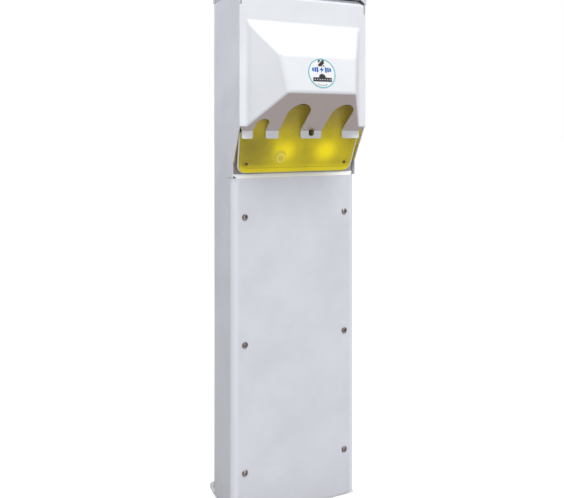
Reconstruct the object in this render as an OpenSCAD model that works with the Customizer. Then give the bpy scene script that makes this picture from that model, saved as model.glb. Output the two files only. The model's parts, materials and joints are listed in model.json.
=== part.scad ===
// Power pedestal: a charging post for boats, campers and small electric vehicles.
// Millimetres, +Z up, X to the right as the hood is faced, Y towards the back.
// The origin is on the ground, at the middle of the whole post's footprint.
// Pieces are drawn from the access panel's front face, and from_front() places them.

/* [Post] */
// Width across the two side walls
post_w = 254; // [240:1:320]
// Depth of the lower body, from the access panel's face to the back
post_d = 108; // [100:1:160]
// How far the hood compartment stands in front of the access panel
nose_d = 38.5; // [36:0.5:60]
// Height of the cap's lower edge above the ground
eaves_h = 957; // [940:1:1100]
// Rise of the cap above its lower edge
cap_rise = 31; // [26:1:50]
// Thickness of the side walls, the back and the access panel
sheet_t = 2; // [1.5:0.1:3]
// Height at which the side walls start to lean forward
slant_low = 652; // [650:1:660]

/* [Base plate] */
// Thickness of the base plate
base_t = 5; // [4:0.5:10]
// How far the rear ears reach behind the back
ear_reach = 35; // [30:1:60]
// Width of a rear ear
ear_w = 24; // [22:1:40]
// Diameter of the anchor holes
anchor_d = 11; // [8:0.5:14]
// Distance from the side to the centre of a rear anchor hole
rear_anchor_inset = 10.5; // [10:0.5:14]
// Distance from the side to the centre of a front anchor hole
front_anchor_inset = 32; // [28:1:50]
// Inner diameter of the conduit bushing
conduit_d = 54; // [30:1:60]

/* [Access panel] */
// Height of the access panel's front face
panel_h = 623.5; // [600:0.5:624]
// Outer radius of the panel's two upright bends
bend_r = 14.5; // [8:0.5:18]
// Length of the panel's return along each side
panel_return = 20; // [19:0.5:30]
// Rise and set-back of the sloping ledge along the panel's top
ledge_rise = 7.5; // [5:0.5:8]
// Distance from the side to a column of panel screws
screw_inset = 24.3; // [22:0.1:40]
// Height of the lowest row of panel screws
screw_low = 91; // [60:1:120]
// Distance between the rows of panel screws
screw_pitch = 231; // [150:1:240]
// Head diameter of the panel screws
screw_head_d = 11.5; // [8:0.5:14]

/* [Hood door] */
// Thickness of the formed hood door
door_t = 2.5; // [2:0.1:3]
// Height of the door's lower edge
door_low = 717; // [715:1:722]
// Width of the hood where it leaves the flat of the door
hood_w = 226; // [210:1:230]
// Height of the hood's upper edge above the door's lower edge
hood_top_up = 185; // [180:1:188]
// Height of the upper fold above the door's lower edge
fold_high_up = 122.5; // [115:0.5:130]
// How far the upper fold stands out
fold_high_out = 57; // [50:1:62]
// Height of the lower fold above the door's lower edge
fold_low_up = 57; // [50:1:62]
// How far the lower fold stands out
fold_low_out = 71; // [66:1:80]
// How much each side of the hood draws in for each millimetre that it stands out
side_draft = 0.684; // [0.5:0.01:0.7]
// How far the lip is set back from the flat of the door
lip_back = 10.5; // [10:0.1:11]
// Height of the lip
lip_h = 13.5; // [10:0.5:15]
// Width of the lip
lip_w = 238; // [230:1:240]
// Width of the narrow cable slot
small_slot_w = 25; // [16:1:28]
// Width of the wide cable slots
wide_slot_w = 44; // [32:1:46]
// Width of the padlock slot
lock_slot_w = 9.6; // [9:0.1:12]

/* [Hinge] */
// Diameter of the hinge pin
pin_d = 4; // [3:0.5:4]
// Outer radius of the hinge knuckles
knuckle_r = 4.2; // [4:0.1:4.4]
// Length of one hinge
hinge_l = 60; // [40:1:80]
// Distance from the middle of the post to the middle of a hinge
hinge_x = 72; // [50:1:85]

/* [Light box] */
// Forward lean of the lens, as millimetres per millimetre of height
lens_lean = 0.37; // [0.3:0.01:0.38]
// Thickness of the lens
lens_t = 3; // [2:0.5:4]
// Diameter of one lamp
lamp_d = 24; // [16:1:26]

/* [Sockets] */
// Flange diameter of the wide sockets
wide_socket_d = 60; // [50:1:62]
// Flange diameter of the narrow socket
small_socket_d = 40; // [32:1:42]
// Distance of the narrow socket from the middle, to the left
small_socket_x = 86; // [84:1:88]
// Distance of the first wide socket from the middle, to the left
left_socket_x = 26.5; // [24:0.5:30]
// Distance of the second wide socket from the middle, to the right
right_socket_x = 60; // [58:1:62]

/* [Hidden] */
$fn = 48;

// Colours
white_paint = [0.86, 0.87, 0.90];
hood_white = [0.95, 0.95, 0.96];
steel = [0.72, 0.73, 0.75];
zinc = [0.62, 0.63, 0.65];
brass = [0.80, 0.66, 0.32];
rubber = [0.12, 0.12, 0.13];
lens_yellow = [0.90, 0.82, 0.12, 0.75];
black_plastic = [0.10, 0.10, 0.11];
grey_plastic = [0.45, 0.46, 0.48];

// Clearances
seam = 0.8;
free_gap = 0.3;
pin_play = 0.05;
touch = 0.02;

// Places shared by several pieces
half_w = post_w / 2;
inner_half = half_w - sheet_t;
door_face = -nose_d;
door_back = door_face + door_t;
hood_front = door_face - fold_low_out;
front_y = -(hood_front + post_d + ear_reach) / 2;
ledge_top = panel_h + ledge_rise;
lip_face = door_face + lip_back;
under_slope = fold_low_up / fold_low_out;
lip_top = door_low - lip_back * under_slope;
lip_low = lip_top - lip_h;
door_top = eaves_h - 11;
shell_top = eaves_h + 8;

// Hinge line of the hood door
hinge_set_back = 7.5;
hinge_drop = 8;
hinge_y = door_face + hinge_set_back;
hinge_z = door_top - hinge_drop;
full_width_top = hinge_z - 8.5;
leaf_t = 1.4;
band_rise = 9;
band_half = half_w - 10;
narrow_half = inner_half - 1.5;
header_y = -12;
header_t = 2;
panel_face_y = header_y + header_t;

// Light box
lens_low = ledge_top + 1;
lens_top = door_low + 40;
lens_foot_y = 4;
tray_back = 22;
tray_t = 2;
tray_low_half = half_w - 11;
tray_wide_half = half_w - 7.5;
tray_shoulder = lip_top - 3;
tray_top_half = hood_w / 2 - 9;
tray_corner_r = 16;
function lens_y(z) = lens_foot_y - (z - lens_low) * lens_lean;
lamp_z = lens_low + 45;
lamp_xs = [-left_socket_x, right_socket_x - 2];

// Socket panel
shelf_z = lens_top + 2.5;
face_top = shelf_z + 108.5;
face_low = face_top - 92;
face_run = 34;
face_tilt = atan(face_run / (face_top - face_low));
socket_y = panel_face_y + face_run / 2;
socket_z = (face_top + face_low) / 2;
socket_xs = [-small_socket_x, -left_socket_x, right_socket_x];
socket_ds = [small_socket_d, wide_socket_d, wide_socket_d];
socket_t = 5;
flap_t = 2.5;
flap_pin_r = 1.2;
flap_barrel_r = 2.6;

// Breakers
breaker_z = face_top + 28;
breaker_h = 76;
breaker_ws = [18, 36, 36];
breaker_xs = [-54, -24, 18];
breaker_front = panel_face_y - 3;
nose_h = 36;
lever_axis_y = breaker_front + 5;
lever_r = 4.2;
lever_pin_r = 1.5;

module from_front() {
    translate([0, front_y, 0]) children();
}

module both_sides() {
    children();
    mirror([1, 0, 0]) children();
}

// A plate drawn in side view, with its middle at x = 0
module side_plate(width) {
    rotate([90, 0, 90]) linear_extrude(width, center = true) children();
}

// A cylinder along Y, from y = 0 towards the front
module peg(r, length) {
    rotate([90, 0, 0]) cylinder(r = r, h = length);
}

// A domed screw head and its shank, along Y, head towards the front
module panel_screw(head_r, shank_r, length) {
    dome = head_r * 0.45;
    peg(head_r, dome * 0.5);
    translate([0, -dome * 0.5, 0]) rotate([90, 0, 0])
        rotate_extrude() polygon([[0, 0], [head_r, 0], [head_r * 0.8, dome * 0.35], [0, dome * 0.5]]);
    translate([0, length, 0]) peg(shank_r, length);
}

// Carries children to a socket's face: Z outwards, Y up the face
module at_socket(x) {
    translate([x, socket_y, socket_z]) rotate([90 + face_tilt, 0, 0]) children();
}

// Tube along a route whose corners are rounded
function unit(v) = v / norm(v);
function corner_points(a, b, c, r, n) = let (p = b + unit(a - b) * r, q = b + unit(c - b) * r)
    [for (i = [0 : n]) let (t = i / n) p * (1 - t) * (1 - t) + b * 2 * t * (1 - t) + q * t * t];
function rounded_route(pts, r, n = 4) = concat([pts[0]],
    [for (i = [1 : len(pts) - 2]) each corner_points(pts[i - 1], pts[i], pts[i + 1], r, n)],
    [pts[len(pts) - 1]]);
function heading(pts, i) = unit(pts[min(i + 1, len(pts) - 1)] - pts[max(i - 1, 0)]);
function ring(p, along, r, sides) = let (side = unit(cross(along, [0.93, 0.35, 0.11])),
    up = cross(along, side)) [for (k = [0 : sides - 1])
    p + r * (side * cos(360 * k / sides) + up * sin(360 * k / sides))];

module tube(route, r, bend = 10, sides = 8) {
    path = rounded_route(route, bend);
    n = len(path);
    points = [for (i = [0 : n - 1]) each ring(path[i], heading(path, i), r, sides)];
    walls = [for (i = [0 : n - 2], k = [0 : sides - 1]) let (m = (k + 1) % sides)
        [i * sides + k, i * sides + m, (i + 1) * sides + m, (i + 1) * sides + k]];
    first_end = [for (k = [sides - 1 : -1 : 0]) k];
    last_end = [for (k = [0 : sides - 1]) (n - 1) * sides + k];
    polyhedron(points, concat(walls, [first_end, last_end]), convexity = 6);
}

// ---- Base ----

foot_bolt_y = 70;
foot_w = 40;
foot_t = 3;
conduit_y = 60;
bushing_wall = 4;

module base_plate() {
    r = ear_w / 2;
    color(zinc) from_front() difference() {
        union() {
            translate([-inner_half + touch, sheet_t + 1, 0])
                cube([2 * (inner_half - touch), post_d - 2 * sheet_t - 1, base_t]);
            translate([-half_w, panel_return + 1 + seam, 0])
                cube([post_w, post_d - panel_return - 1 - seam, base_t]);
            both_sides() {
                translate([half_w - ear_w, post_d - touch, 0]) cube([ear_w, ear_reach - r + touch, base_t]);
                translate([half_w - r, post_d + ear_reach - r, 0]) cylinder(r = r, h = base_t);
            }
        }
        both_sides() {
            translate([half_w - rear_anchor_inset, post_d + ear_reach / 2, -1])
                cylinder(d = anchor_d, h = base_t + 2);
            translate([half_w - front_anchor_inset, panel_return + 6, -1])
                cylinder(d = anchor_d, h = base_t + 2);
            translate([inner_half - foot_w / 2, foot_bolt_y, -1]) cylinder(r = 3, h = base_t + 2);
        }
        translate([0, conduit_y, -1]) cylinder(r = conduit_d / 2 + bushing_wall, h = base_t + 2);
    }
}

module conduit_bushing() {
    r = conduit_d / 2;
    color(black_plastic) from_front() translate([0, conduit_y, 0]) difference() {
        union() {
            cylinder(r = r + bushing_wall, h = 12);
            translate([0, 0, base_t]) cylinder(r = r + bushing_wall + 4, h = 4);
        }
        translate([0, 0, -1]) cylinder(r = r, h = 14);
    }
}

// Angle brackets that tie the side walls to the base plate
module shell_feet() {
    color(zinc) from_front() both_sides() difference() {
        union() {
            translate([inner_half - foot_w + 6, foot_bolt_y - 15, base_t]) cube([foot_w - 6, 30, foot_t]);
            translate([inner_half - foot_t, foot_bolt_y - 15, base_t]) cube([foot_t, 30, 34]);
        }
        translate([inner_half - foot_w / 2, foot_bolt_y, 0]) cylinder(r = 3, h = 20);
    }
}

module foot_bolts() {
    color(steel) from_front() both_sides() translate([inner_half - foot_w / 2, foot_bolt_y, 0]) {
        translate([0, 0, base_t + foot_t]) cylinder(r = 6, h = 4, $fn = 6);
        translate([0, 0, 0.5]) cylinder(r = 3, h = base_t + foot_t);
    }
}

// ---- Shell ----

return_w = 10;
return_low = door_low + 8;
slant_y = 0;

// Side wall in side view: Y runs along the first axis and Z along the second
module wall_outline() {
    polygon([[panel_return + seam, base_t], [panel_return + seam, panel_h + seam],
        [slant_y, panel_h + seam], [slant_y, slant_low], [door_back + free_gap, door_low - 1],
        [door_back + free_gap, full_width_top + seam], [door_face, full_width_top + seam],
        [door_face, eaves_h - touch], [door_face + 1, eaves_h - touch], [door_face + 1, shell_top],
        [post_d, shell_top], [post_d, base_t]]);
}

module post_shell() {
    front_edge = door_back + free_gap;
    color(white_paint) from_front() difference() {
        union() {
            both_sides() translate([half_w - sheet_t / 2, 0, 0]) side_plate(sheet_t) wall_outline();
            translate([-half_w, post_d - sheet_t, base_t]) cube([post_w, sheet_t, shell_top - base_t]);
            both_sides() translate([inner_half - return_w, front_edge, return_low])
                cube([return_w + touch, sheet_t, full_width_top - 2 - return_low]);
        }
        both_sides() cap_screw_holes();
    }
}

cap_screw_ys = [10, post_d - 20];
module cap_screw_holes() {
    for (y = cap_screw_ys)
        translate([half_w - 5, y, eaves_h + 4.5]) rotate([0, 90, 0]) cylinder(r = 2, h = 12);
}

// ---- Cap ----

cap_over = 1.5;
cap_skirt = 12;
hip = 20;

module cap_solid(inset) {
    half = half_w + cap_over - inset;
    front = door_face - cap_over + inset;
    back = post_d + cap_over - inset;
    top = cap_rise - inset;
    translate([-half, front, eaves_h - 2 * inset]) cube([2 * half, back - front, cap_skirt + 2 * inset]);
    intersection() {
        side_plate(2 * half) polygon([[front, eaves_h + cap_skirt - touch], [front + hip, eaves_h + top],
            [back - hip, eaves_h + top], [back, eaves_h + cap_skirt - touch]]);
        translate([0, (front + back) / 2, 0]) rotate([90, 0, 0]) linear_extrude(back - front, center = true)
            polygon([[-half, eaves_h + cap_skirt - touch], [-half + hip, eaves_h + top],
                [half - hip, eaves_h + top], [half, eaves_h + cap_skirt - touch]]);
    }
}

// Three-cornered gusset that closes each end of the door's bright upper band
module cap_ear() {
    front = door_face - cap_over;
    translate([0, front + cap_over - 0.1, 0]) rotate([90, 0, 0]) linear_extrude(cap_over - 0.1)
        polygon([[half_w + cap_over, door_top + 2], [half_w + cap_over, eaves_h + 1],
            [band_half, eaves_h + 1], [band_half, eaves_h - 1]]);
}

module top_cap() {
    color(white_paint) from_front() difference() {
        union() {
            difference() {
                cap_solid(0);
                cap_solid(cap_over);
            }
            both_sides() cap_ear();
        }
        both_sides() cap_screw_holes();
    }
}

module cap_screws() {
    color(steel) from_front() both_sides() for (y = cap_screw_ys)
        translate([half_w + cap_over, y, eaves_h + 4.5]) rotate([0, 0, 90]) {
            peg(4, 1.4);
            translate([0, 6, 0]) peg(2, 6);
        }
}

// ---- Header rail under the cap ----

header_low = hinge_z - 23;
header_rivet_zs = [header_low + 8, header_low + 26];

module header_rail() {
    top = shell_top - 1;
    color(zinc) from_front() difference() {
        union() {
            translate([-inner_half, header_y, header_low])
                cube([2 * inner_half, header_t, top - header_low]);
            translate([-inner_half, header_y, top - header_t]) cube([2 * inner_half, 16, header_t]);
            both_sides() translate([inner_half - header_t, header_y, header_low])
                cube([header_t, 16, top - header_low]);
        }
        both_sides() {
            hinge_screw_holes();
            for (z = header_rivet_zs) translate([inner_half - 5, header_y + 9, z]) rotate([0, 90, 0])
                cylinder(r = 1.6, h = 10);
        }
    }
}

// ---- Access panel ----

rail_w = 24;
rail_t = 2;
gasket_t = 1.5;
gasket_w = 16;
rail_y = sheet_t + gasket_t;
screw_zs = [for (i = [0 : 2]) screw_low + i * screw_pitch];
screw_x = half_w - screw_inset;
screw_shank_r = 2.5;

module rail_rivet_places() {
    for (z = [150, 380, panel_h - 30]) translate([inner_half, panel_return + 12, z])
        rotate([0, -90, 0]) children();
}

// Plan view of a rail: a seat for the panel, a web behind the panel's bend and a leg on the wall
module rail_section() {
    seat_end = half_w - bend_r;
    leg_y = panel_return + 2;
    translate([screw_x - rail_w / 2, rail_y]) square([seat_end - screw_x + rail_w / 2, rail_t]);
    translate([seat_end - rail_t, rail_y]) square([rail_t, leg_y + rail_t - rail_y]);
    translate([seat_end - rail_t, leg_y]) square([inner_half - seat_end + rail_t, rail_t]);
    translate([inner_half - rail_t, leg_y]) square([rail_t, 16]);
}

module panel_rails() {
    low = base_t + 2;
    color(zinc) from_front() both_sides() difference() {
        translate([0, 0, low]) linear_extrude(panel_h - low - 4) rail_section();
        for (z = screw_zs) translate([screw_x, rail_y + 5, z]) peg(screw_shank_r, 10);
        rail_rivet_places() translate([0, 0, -1]) cylinder(r = 1.6, h = 5);
    }
}

// Rivets that hold the header rail and the panel rails to the side walls
module shell_rivets() {
    color(steel) from_front() both_sides() {
        rail_rivet_places() {
            translate([0, 0, rail_t]) cylinder(r = 3, h = 1.2);
            cylinder(r = 1.6, h = rail_t);
        }
        for (z = header_rivet_zs) translate([inner_half, header_y + 9, z]) rotate([0, -90, 0]) {
            translate([0, 0, header_t]) cylinder(r = 3, h = 1.2);
            cylinder(r = 1.6, h = header_t);
        }
    }
}

// Plan view of the bent panel: a face, two round bends and two returns
module panel_plan(inset) {
    r = bend_r - inset;
    half = half_w - inset;
    translate([-half + r, inset]) square([2 * (half - r), panel_return - inset]);
    translate([-half, bend_r]) square([2 * half, panel_return - bend_r]);
    for (s = [-1, 1]) intersection() {
        translate([s * (half - r), bend_r]) circle(r = r);
        translate([-half, 0]) square([2 * half, panel_return]);
    }
}

module access_panel() {
    low = base_t + 1;
    color(white_paint) from_front() difference() {
        union() {
            translate([0, 0, low]) linear_extrude(panel_h - low) difference() {
                panel_plan(0);
                panel_plan(sheet_t);
                translate([-half_w + sheet_t, bend_r]) square([2 * inner_half, panel_return]);
            }
            side_plate(2 * (inner_half - seam)) polygon([[0.8, panel_h - touch],
                [ledge_rise + 0.8, ledge_top], [ledge_rise + sheet_t + 1.6, ledge_top - 1],
                [sheet_t + 1, panel_h - touch - 2], [sheet_t - 0.2, panel_h - 3]]);
        }
        for (z = screw_zs, s = [-1, 1]) translate([s * screw_x, sheet_t + 1, z])
            peg(screw_shank_r + 0.3, 5);
    }
}

module panel_gasket() {
    x = screw_x - gasket_w / 2;
    color(rubber) from_front() both_sides() difference() {
        translate([x, sheet_t, base_t + 6]) cube([gasket_w, gasket_t, panel_h - base_t - 20]);
        for (z = screw_zs) translate([screw_x, rail_y + 1, z]) peg(screw_shank_r + 0.3, 5);
    }
}

module panel_screws() {
    color(steel) from_front() for (z = screw_zs, s = [-1, 1])
        translate([s * screw_x, 0, z]) panel_screw(screw_head_d / 2, screw_shank_r, rail_y + rail_t + 4);
}

// ---- Divider between the wiring space and the socket space ----

divider_z = ledge_top + 9;
grommet_x = 88;
grommet_y = 78;
grommet_r = 13;

module divider_shelf() {
    front = tray_back + 2;
    back = post_d - sheet_t;
    color(zinc) from_front() difference() {
        union() {
            translate([-inner_half, front, divider_z]) cube([2 * inner_half, back - front, 2]);
            both_sides() translate([inner_half - 2, front, divider_z - 12]) cube([2, back - front, 13]);
        }
        translate([grommet_x, grommet_y, divider_z - 1]) cylinder(r = grommet_r, h = 4);
        both_sides() translate([inner_half - 6, (front + back) / 2, divider_z - 7]) rotate([0, 90, 0])
            cylinder(r = 1.6, h = 8);
    }
}

module wire_grommet() {
    color(rubber) from_front() translate([grommet_x, grommet_y, divider_z - 2]) difference() {
        union() {
            cylinder(r = grommet_r, h = 6);
            cylinder(r = grommet_r + 3, h = 2);
            translate([0, 0, 4]) cylinder(r = grommet_r + 3, h = 2);
        }
        translate([0, 0, -1]) cylinder(r = grommet_r - 2.5, h = 8);
    }
}

// ---- Hood door and its hinges ----

hinge_xs = [-hinge_x, hinge_x];
knuckle_gap = 0.4;
knuckle_l = (hinge_l - 2 * knuckle_gap) / 3;
fixed_spans = [[-hinge_l / 2, knuckle_l], [hinge_l / 2 - knuckle_l, knuckle_l]];
door_spans = [[-knuckle_l / 2, knuckle_l]];
leaf_h = 26;
leaf_drop = 3.5;

module knuckles(spans, bore_r) {
    for (s = spans) translate([s[0], hinge_y, hinge_z]) rotate([0, 90, 0]) difference() {
        cylinder(r = knuckle_r, h = s[1]);
        translate([0, 0, -1]) cylinder(r = bore_r, h = s[1] + 2);
    }
}

module pin_channel(spans, r) {
    for (s = spans) translate([s[0] - 1, hinge_y, hinge_z]) rotate([0, 90, 0]) cylinder(r = r, h = s[1] + 2);
}

module hinge_screw_holes() {
    for (dx = [-20, 20]) translate([hinge_x + dx, header_y + 6, hinge_z - 14]) peg(1.6, 12);
}

module hinge_leaves_fixed() {
    web_low = hinge_z - knuckle_r;
    plate_y = header_y - leaf_t;
    color(steel) from_front() for (x = hinge_xs) translate([x, 0, 0]) difference() {
        union() {
            knuckles(fixed_spans, pin_d / 2);
            translate([-hinge_l / 2, hinge_y + knuckle_r, web_low])
                cube([hinge_l, plate_y - hinge_y - knuckle_r + touch, leaf_t]);
            for (s = fixed_spans) translate([s[0], hinge_y, web_low]) cube([s[1], knuckle_r + 1, leaf_t]);
            translate([-hinge_l / 2, plate_y, header_low + 1])
                cube([hinge_l, leaf_t, web_low + leaf_t - header_low - 1]);
        }
        pin_channel(fixed_spans, pin_d / 2);
        for (dx = [-20, 20]) translate([dx, header_y + 6, hinge_z - 14]) peg(1.6, 12);
    }
}

module hinge_leaves_door() {
    plate_low = hinge_z - leaf_h;
    color(steel) from_front() for (x = hinge_xs) translate([x, 0, 0]) difference() {
        union() {
            knuckles(door_spans, pin_d / 2 + pin_play);
            translate([-hinge_l / 2, door_back, plate_low]) cube([hinge_l, leaf_t, leaf_h - leaf_drop]);
            for (s = door_spans) translate([s[0], door_back, hinge_z - leaf_drop - 1])
                cube([s[1], leaf_t, leaf_drop + 1]);
        }
        pin_channel(door_spans, pin_d / 2 + pin_play);
        for (dx = [-20, 20]) translate([dx, door_back + 5, plate_low + 9]) peg(1.6, 10);
    }
}

module hinge_pins() {
    color(zinc) from_front() for (x = hinge_xs) translate([x - hinge_l / 2, hinge_y, hinge_z])
        rotate([0, 90, 0]) {
            cylinder(r = pin_d / 2, h = hinge_l);
            translate([0, 0, -1]) cylinder(r = pin_d / 2 + 0.8, h = 1);
            translate([0, 0, hinge_l]) cylinder(r = pin_d / 2 + 0.8, h = 1);
        }
}

module hinge_screws() {
    color(steel) from_front() for (x = hinge_xs, dx = [-20, 20])
        translate([x + dx, header_y - leaf_t, hinge_z - 14]) {
            peg(3, 1.4);
            translate([0, leaf_t + header_t, 0]) peg(1.6, leaf_t + header_t);
        }
}

module hinge_rivets() {
    color(steel) from_front() for (x = hinge_xs, dx = [-20, 20])
        translate([x + dx, door_back + leaf_t, hinge_z - leaf_h + 9]) {
            translate([0, 1.1, 0]) peg(2.8, 1.1);
            peg(1.6, leaf_t + 1.2);
        }
}

hood_top = door_low + hood_top_up;
fold_high = door_low + fold_high_up;
fold_low = door_low + fold_low_up;
small_slot_end = door_face - 16;
wide_slot_end = door_face - 48;
lock_x = (right_socket_x - left_socket_x) / 2;
wall_shift = door_t * 1.35;

// The faceted hood: a side view carried across, cut to a tapering plan view
module hood_form() {
    root = hood_w / 2;
    tip = root - fold_low_out * side_draft;
    intersection() {
        side_plate(post_w) polygon([[door_back, hood_top], [door_face, hood_top],
            [door_face - fold_high_out, fold_high], [hood_front, fold_low],
            [door_face, door_low], [lip_face, lip_top], [lip_face, door_low + 6],
            [door_back, door_low + 6]]);
        linear_extrude(hood_top + 10) polygon([[-root, door_face], [-tip, hood_front], [tip, hood_front],
            [root, door_face], [lip_w / 2, lip_face + 3], [-lip_w / 2, lip_face + 3]]);
    }
}

module hood_hollow() {
    root = hood_w / 2 - door_t * 0.4;
    tip = root - fold_low_out * side_draft;
    translate([0, wall_shift, 0]) intersection() {
        side_plate(post_w) polygon([[door_back + 12, hood_top], [door_face, hood_top],
            [door_face - fold_high_out, fold_high], [hood_front, fold_low],
            [door_face - 1, door_low + 1], [door_back + 12, door_low + 1]]);
        linear_extrude(hood_top + 10) polygon([[-root, door_face], [-tip, hood_front], [tip, hood_front],
            [root, door_face], [root, 0], [-root, 0]]);
    }
}

// Cable slot: straight sides, a round inner end, open through the lip
module cable_slot(x, w, end_y) {
    r = w / 2;
    low = lip_low - 1;
    high = fold_low;
    translate([x, end_y + r, low]) cylinder(r = r, h = high - low);
    translate([x - r, end_y + r, low]) cube([w, lip_face + 10 - end_y - r, high - low]);
}

module lip_outline() {
    r = 4;
    half = lip_w / 2;
    translate([-half, lip_low + r]) square([lip_w, lip_h - r + 2]);
    translate([-half + r, lip_low]) square([lip_w - 2 * r, r + 1]);
    for (s = [-1, 1]) translate([s * (half - r), lip_low + r]) circle(r = r);
}

module hood_door() {
    under_t = door_t * 1.25;
    color(hood_white) from_front() difference() {
        union() {
            difference() {
                union() {
                    side_plate(post_w) polygon([[door_face, door_low], [door_back, door_low],
                        [door_back, full_width_top - door_t], [door_face, full_width_top]]);
                    translate([-narrow_half, door_face, door_low])
                        cube([2 * narrow_half, door_t, door_top - door_low]);
                    hood_form();
                }
                hood_hollow();
            }
            // Upper band, bent back over the hinges
            intersection() {
                side_plate(post_w) polygon([[door_face, door_top - touch], [door_face, door_top],
                    [door_face + band_rise, door_top + band_rise],
                    [door_face + band_rise + door_t * 0.7, door_top + band_rise - door_t * 0.7],
                    [door_back, door_top - door_t * 0.42], [door_back, door_top - door_t]]);
                rotate([90, 0, 0]) linear_extrude(100, center = true) polygon([
                    [-narrow_half, door_top - 5], [-narrow_half, door_top + 2],
                    [-band_half + 0.5, door_top + band_rise], [band_half - 0.5, door_top + band_rise],
                    [narrow_half, door_top + 2], [narrow_half, door_top - 5]]);
            }
            // Underside carried back below the flat, and the lip hanging from it
            side_plate(lip_w) polygon([[door_face, door_low], [lip_face, lip_top],
                [lip_face + door_t, lip_top], [lip_face + door_t, lip_top + 1.5],
                [door_back, door_low + under_t]]);
            translate([0, lip_face + door_t, 0]) rotate([90, 0, 0]) linear_extrude(door_t) lip_outline();
        }
        cable_slot(-small_socket_x, small_slot_w, small_slot_end);
        cable_slot(-left_socket_x, wide_slot_w, wide_slot_end);
        cable_slot(right_socket_x, wide_slot_w, wide_slot_end);
        translate([lock_x - lock_slot_w / 2, door_face - 8, lip_low + 4]) cube([lock_slot_w, 30, lip_h + 2]);
        for (x = hinge_xs, dx = [-20, 20])
            translate([x + dx, door_back + 1, hinge_z - leaf_h + 9]) peg(1.6, 2.2);
    }
}

bumper_x = inner_half - 5;
bumper_zs = [return_low + 12, full_width_top - 24];

module door_bumpers() {
    color(rubber) from_front() both_sides() for (z = bumper_zs)
        translate([bumper_x, door_back + free_gap, z]) peg(3.5, free_gap);
}

// Staple on the lamp bracket that stands out through the lens and the lip for a padlock
staple_z = lip_low + 10.5;
staple_t = 3;
staple_eye_y = lip_face - 4;
staple_r = 5;

module lock_staple() {
    color(steel) from_front() translate([lock_x, 0, staple_z]) difference() {
        union() {
            translate([-staple_t / 2, staple_eye_y, -staple_r])
                cube([staple_t, bracket_y - staple_eye_y, 2 * staple_r]);
            translate([-staple_t / 2, staple_eye_y, 0]) rotate([0, 90, 0])
                cylinder(r = staple_r, h = staple_t);
            translate([-8, bracket_y - 2, -10]) cube([16, 2, 20]);
        }
        translate([-staple_t, staple_eye_y, 0]) rotate([0, 90, 0]) cylinder(r = 3.1, h = 2 * staple_t);
    }
}

badge_r = 27;
badge_up = 91;
facet_lean = atan((fold_low_out - fold_high_out) / (fold_high_up - fold_low_up));

module badge() {
    out = fold_low_out - (badge_up - fold_low_up) * tan(facet_lean);
    color([0.93, 0.95, 0.96]) from_front() translate([0, door_face - out, door_low + badge_up])
        rotate([90 - facet_lean, 0, 0]) cylinder(r = badge_r, h = 0.6);
}

// ---- Light box ----

// Front view of the tray: wide below the door, narrower where it stands inside the hood
function arc(x, z, r, from, to, n = 8) = [for (i = [0 : n]) let (a = from + (to - from) * i / n)
    [x + r * cos(a), z + r * sin(a)]];

module tray_outline(inset) {
    r = tray_corner_r;
    wide = tray_wide_half - inset;
    narrow = tray_top_half - inset;
    top = lens_top - inset;
    polygon(concat(
        arc(tray_low_half - r, lens_low + r, r - inset, -90, 0),
        [[wide, tray_shoulder - 12], [wide, tray_shoulder], [narrow, tray_shoulder + 9], [narrow, top]],
        [[-narrow, top], [-narrow, tray_shoulder + 9], [-wide, tray_shoulder], [-wide, tray_shoulder - 12]],
        arc(-tray_low_half + r, lens_low + r, r - inset, 180, 270)));
}

// Everything in front of the leaning plane that lies set_back behind the lens face
module in_front_of_lens(set_back) {
    side_plate(post_w + 20) polygon([[lens_y(lens_low - 30) + set_back, lens_low - 30],
        [lens_y(lens_top + 30) + set_back, lens_top + 30], [-200, lens_top + 30], [-200, lens_low - 30]]);
}

lens_screw_x = 101;
lens_screw_z = lens_low + 17;
lens_depth = lens_t / cos(atan(lens_lean));

module tray_block(inset) {
    translate([0, tray_back, 0]) rotate([90, 0, 0]) linear_extrude(80) tray_outline(inset);
}

module light_tray() {
    boss_y = lens_y(lens_screw_z) + 16;
    color(white_paint) from_front() difference() {
        union() {
            difference() {
                tray_block(0);
                translate([0, -tray_t, 0]) tray_block(tray_t);
                in_front_of_lens(lens_depth + touch);
            }
            difference() {
                for (s = [-1, 1]) translate([s * lens_screw_x, tray_back - 1, lens_screw_z])
                    peg(5, tray_back + 8);
                in_front_of_lens(lens_depth + touch);
            }
        }
        for (s = [-1, 1]) translate([s * lens_screw_x, boss_y, lens_screw_z]) peg(1.5, 40);
        translate([-60, tray_back + 5, wire_hole_z]) peg(6, 10);
    }
}

module lens() {
    color(lens_yellow) from_front() difference() {
        intersection() {
            tray_block(0.4);
            in_front_of_lens(lens_depth);
        }
        in_front_of_lens(0);
        for (s = [-1, 1]) translate([s * lens_screw_x, 40, lens_screw_z]) peg(1.8, 80);
        translate([lock_x - staple_t / 2 - seam, -60, staple_z - staple_r - seam])
            cube([staple_t + 2 * seam, 80, 2 * (staple_r + seam)]);
    }
}

module lens_screws() {
    head_y = lens_y(lens_screw_z) - 1.3;
    color(steel) from_front() for (s = [-1, 1]) translate([s * lens_screw_x, head_y, lens_screw_z]) {
        peg(3, 1.2);
        translate([0, 12, 0]) peg(1.5, 12);
    }
}

bracket_y = 14;
photocell_x = -36;
photocell_z = lens_low + 22;
wire_hole_z = lens_top - 40;

module lamp_bracket() {
    half = 84;
    low = lamp_z - 36;
    high = lens_top - 24;
    tab_w = 15;
    color(zinc) from_front() difference() {
        union() {
            translate([-half, bracket_y, low]) cube([2 * half, 1.5, high - low]);
            for (x = [-half, half - tab_w], z = [low, high - 1.5]) translate([x, bracket_y, z])
                cube([tab_w, tray_back - tray_t - bracket_y, 1.5]);
        }
        translate([-60, tray_back, wire_hole_z]) peg(6, 20);
        translate([photocell_x, tray_back, photocell_z]) peg(7.5, 20);
    }
}

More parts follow.
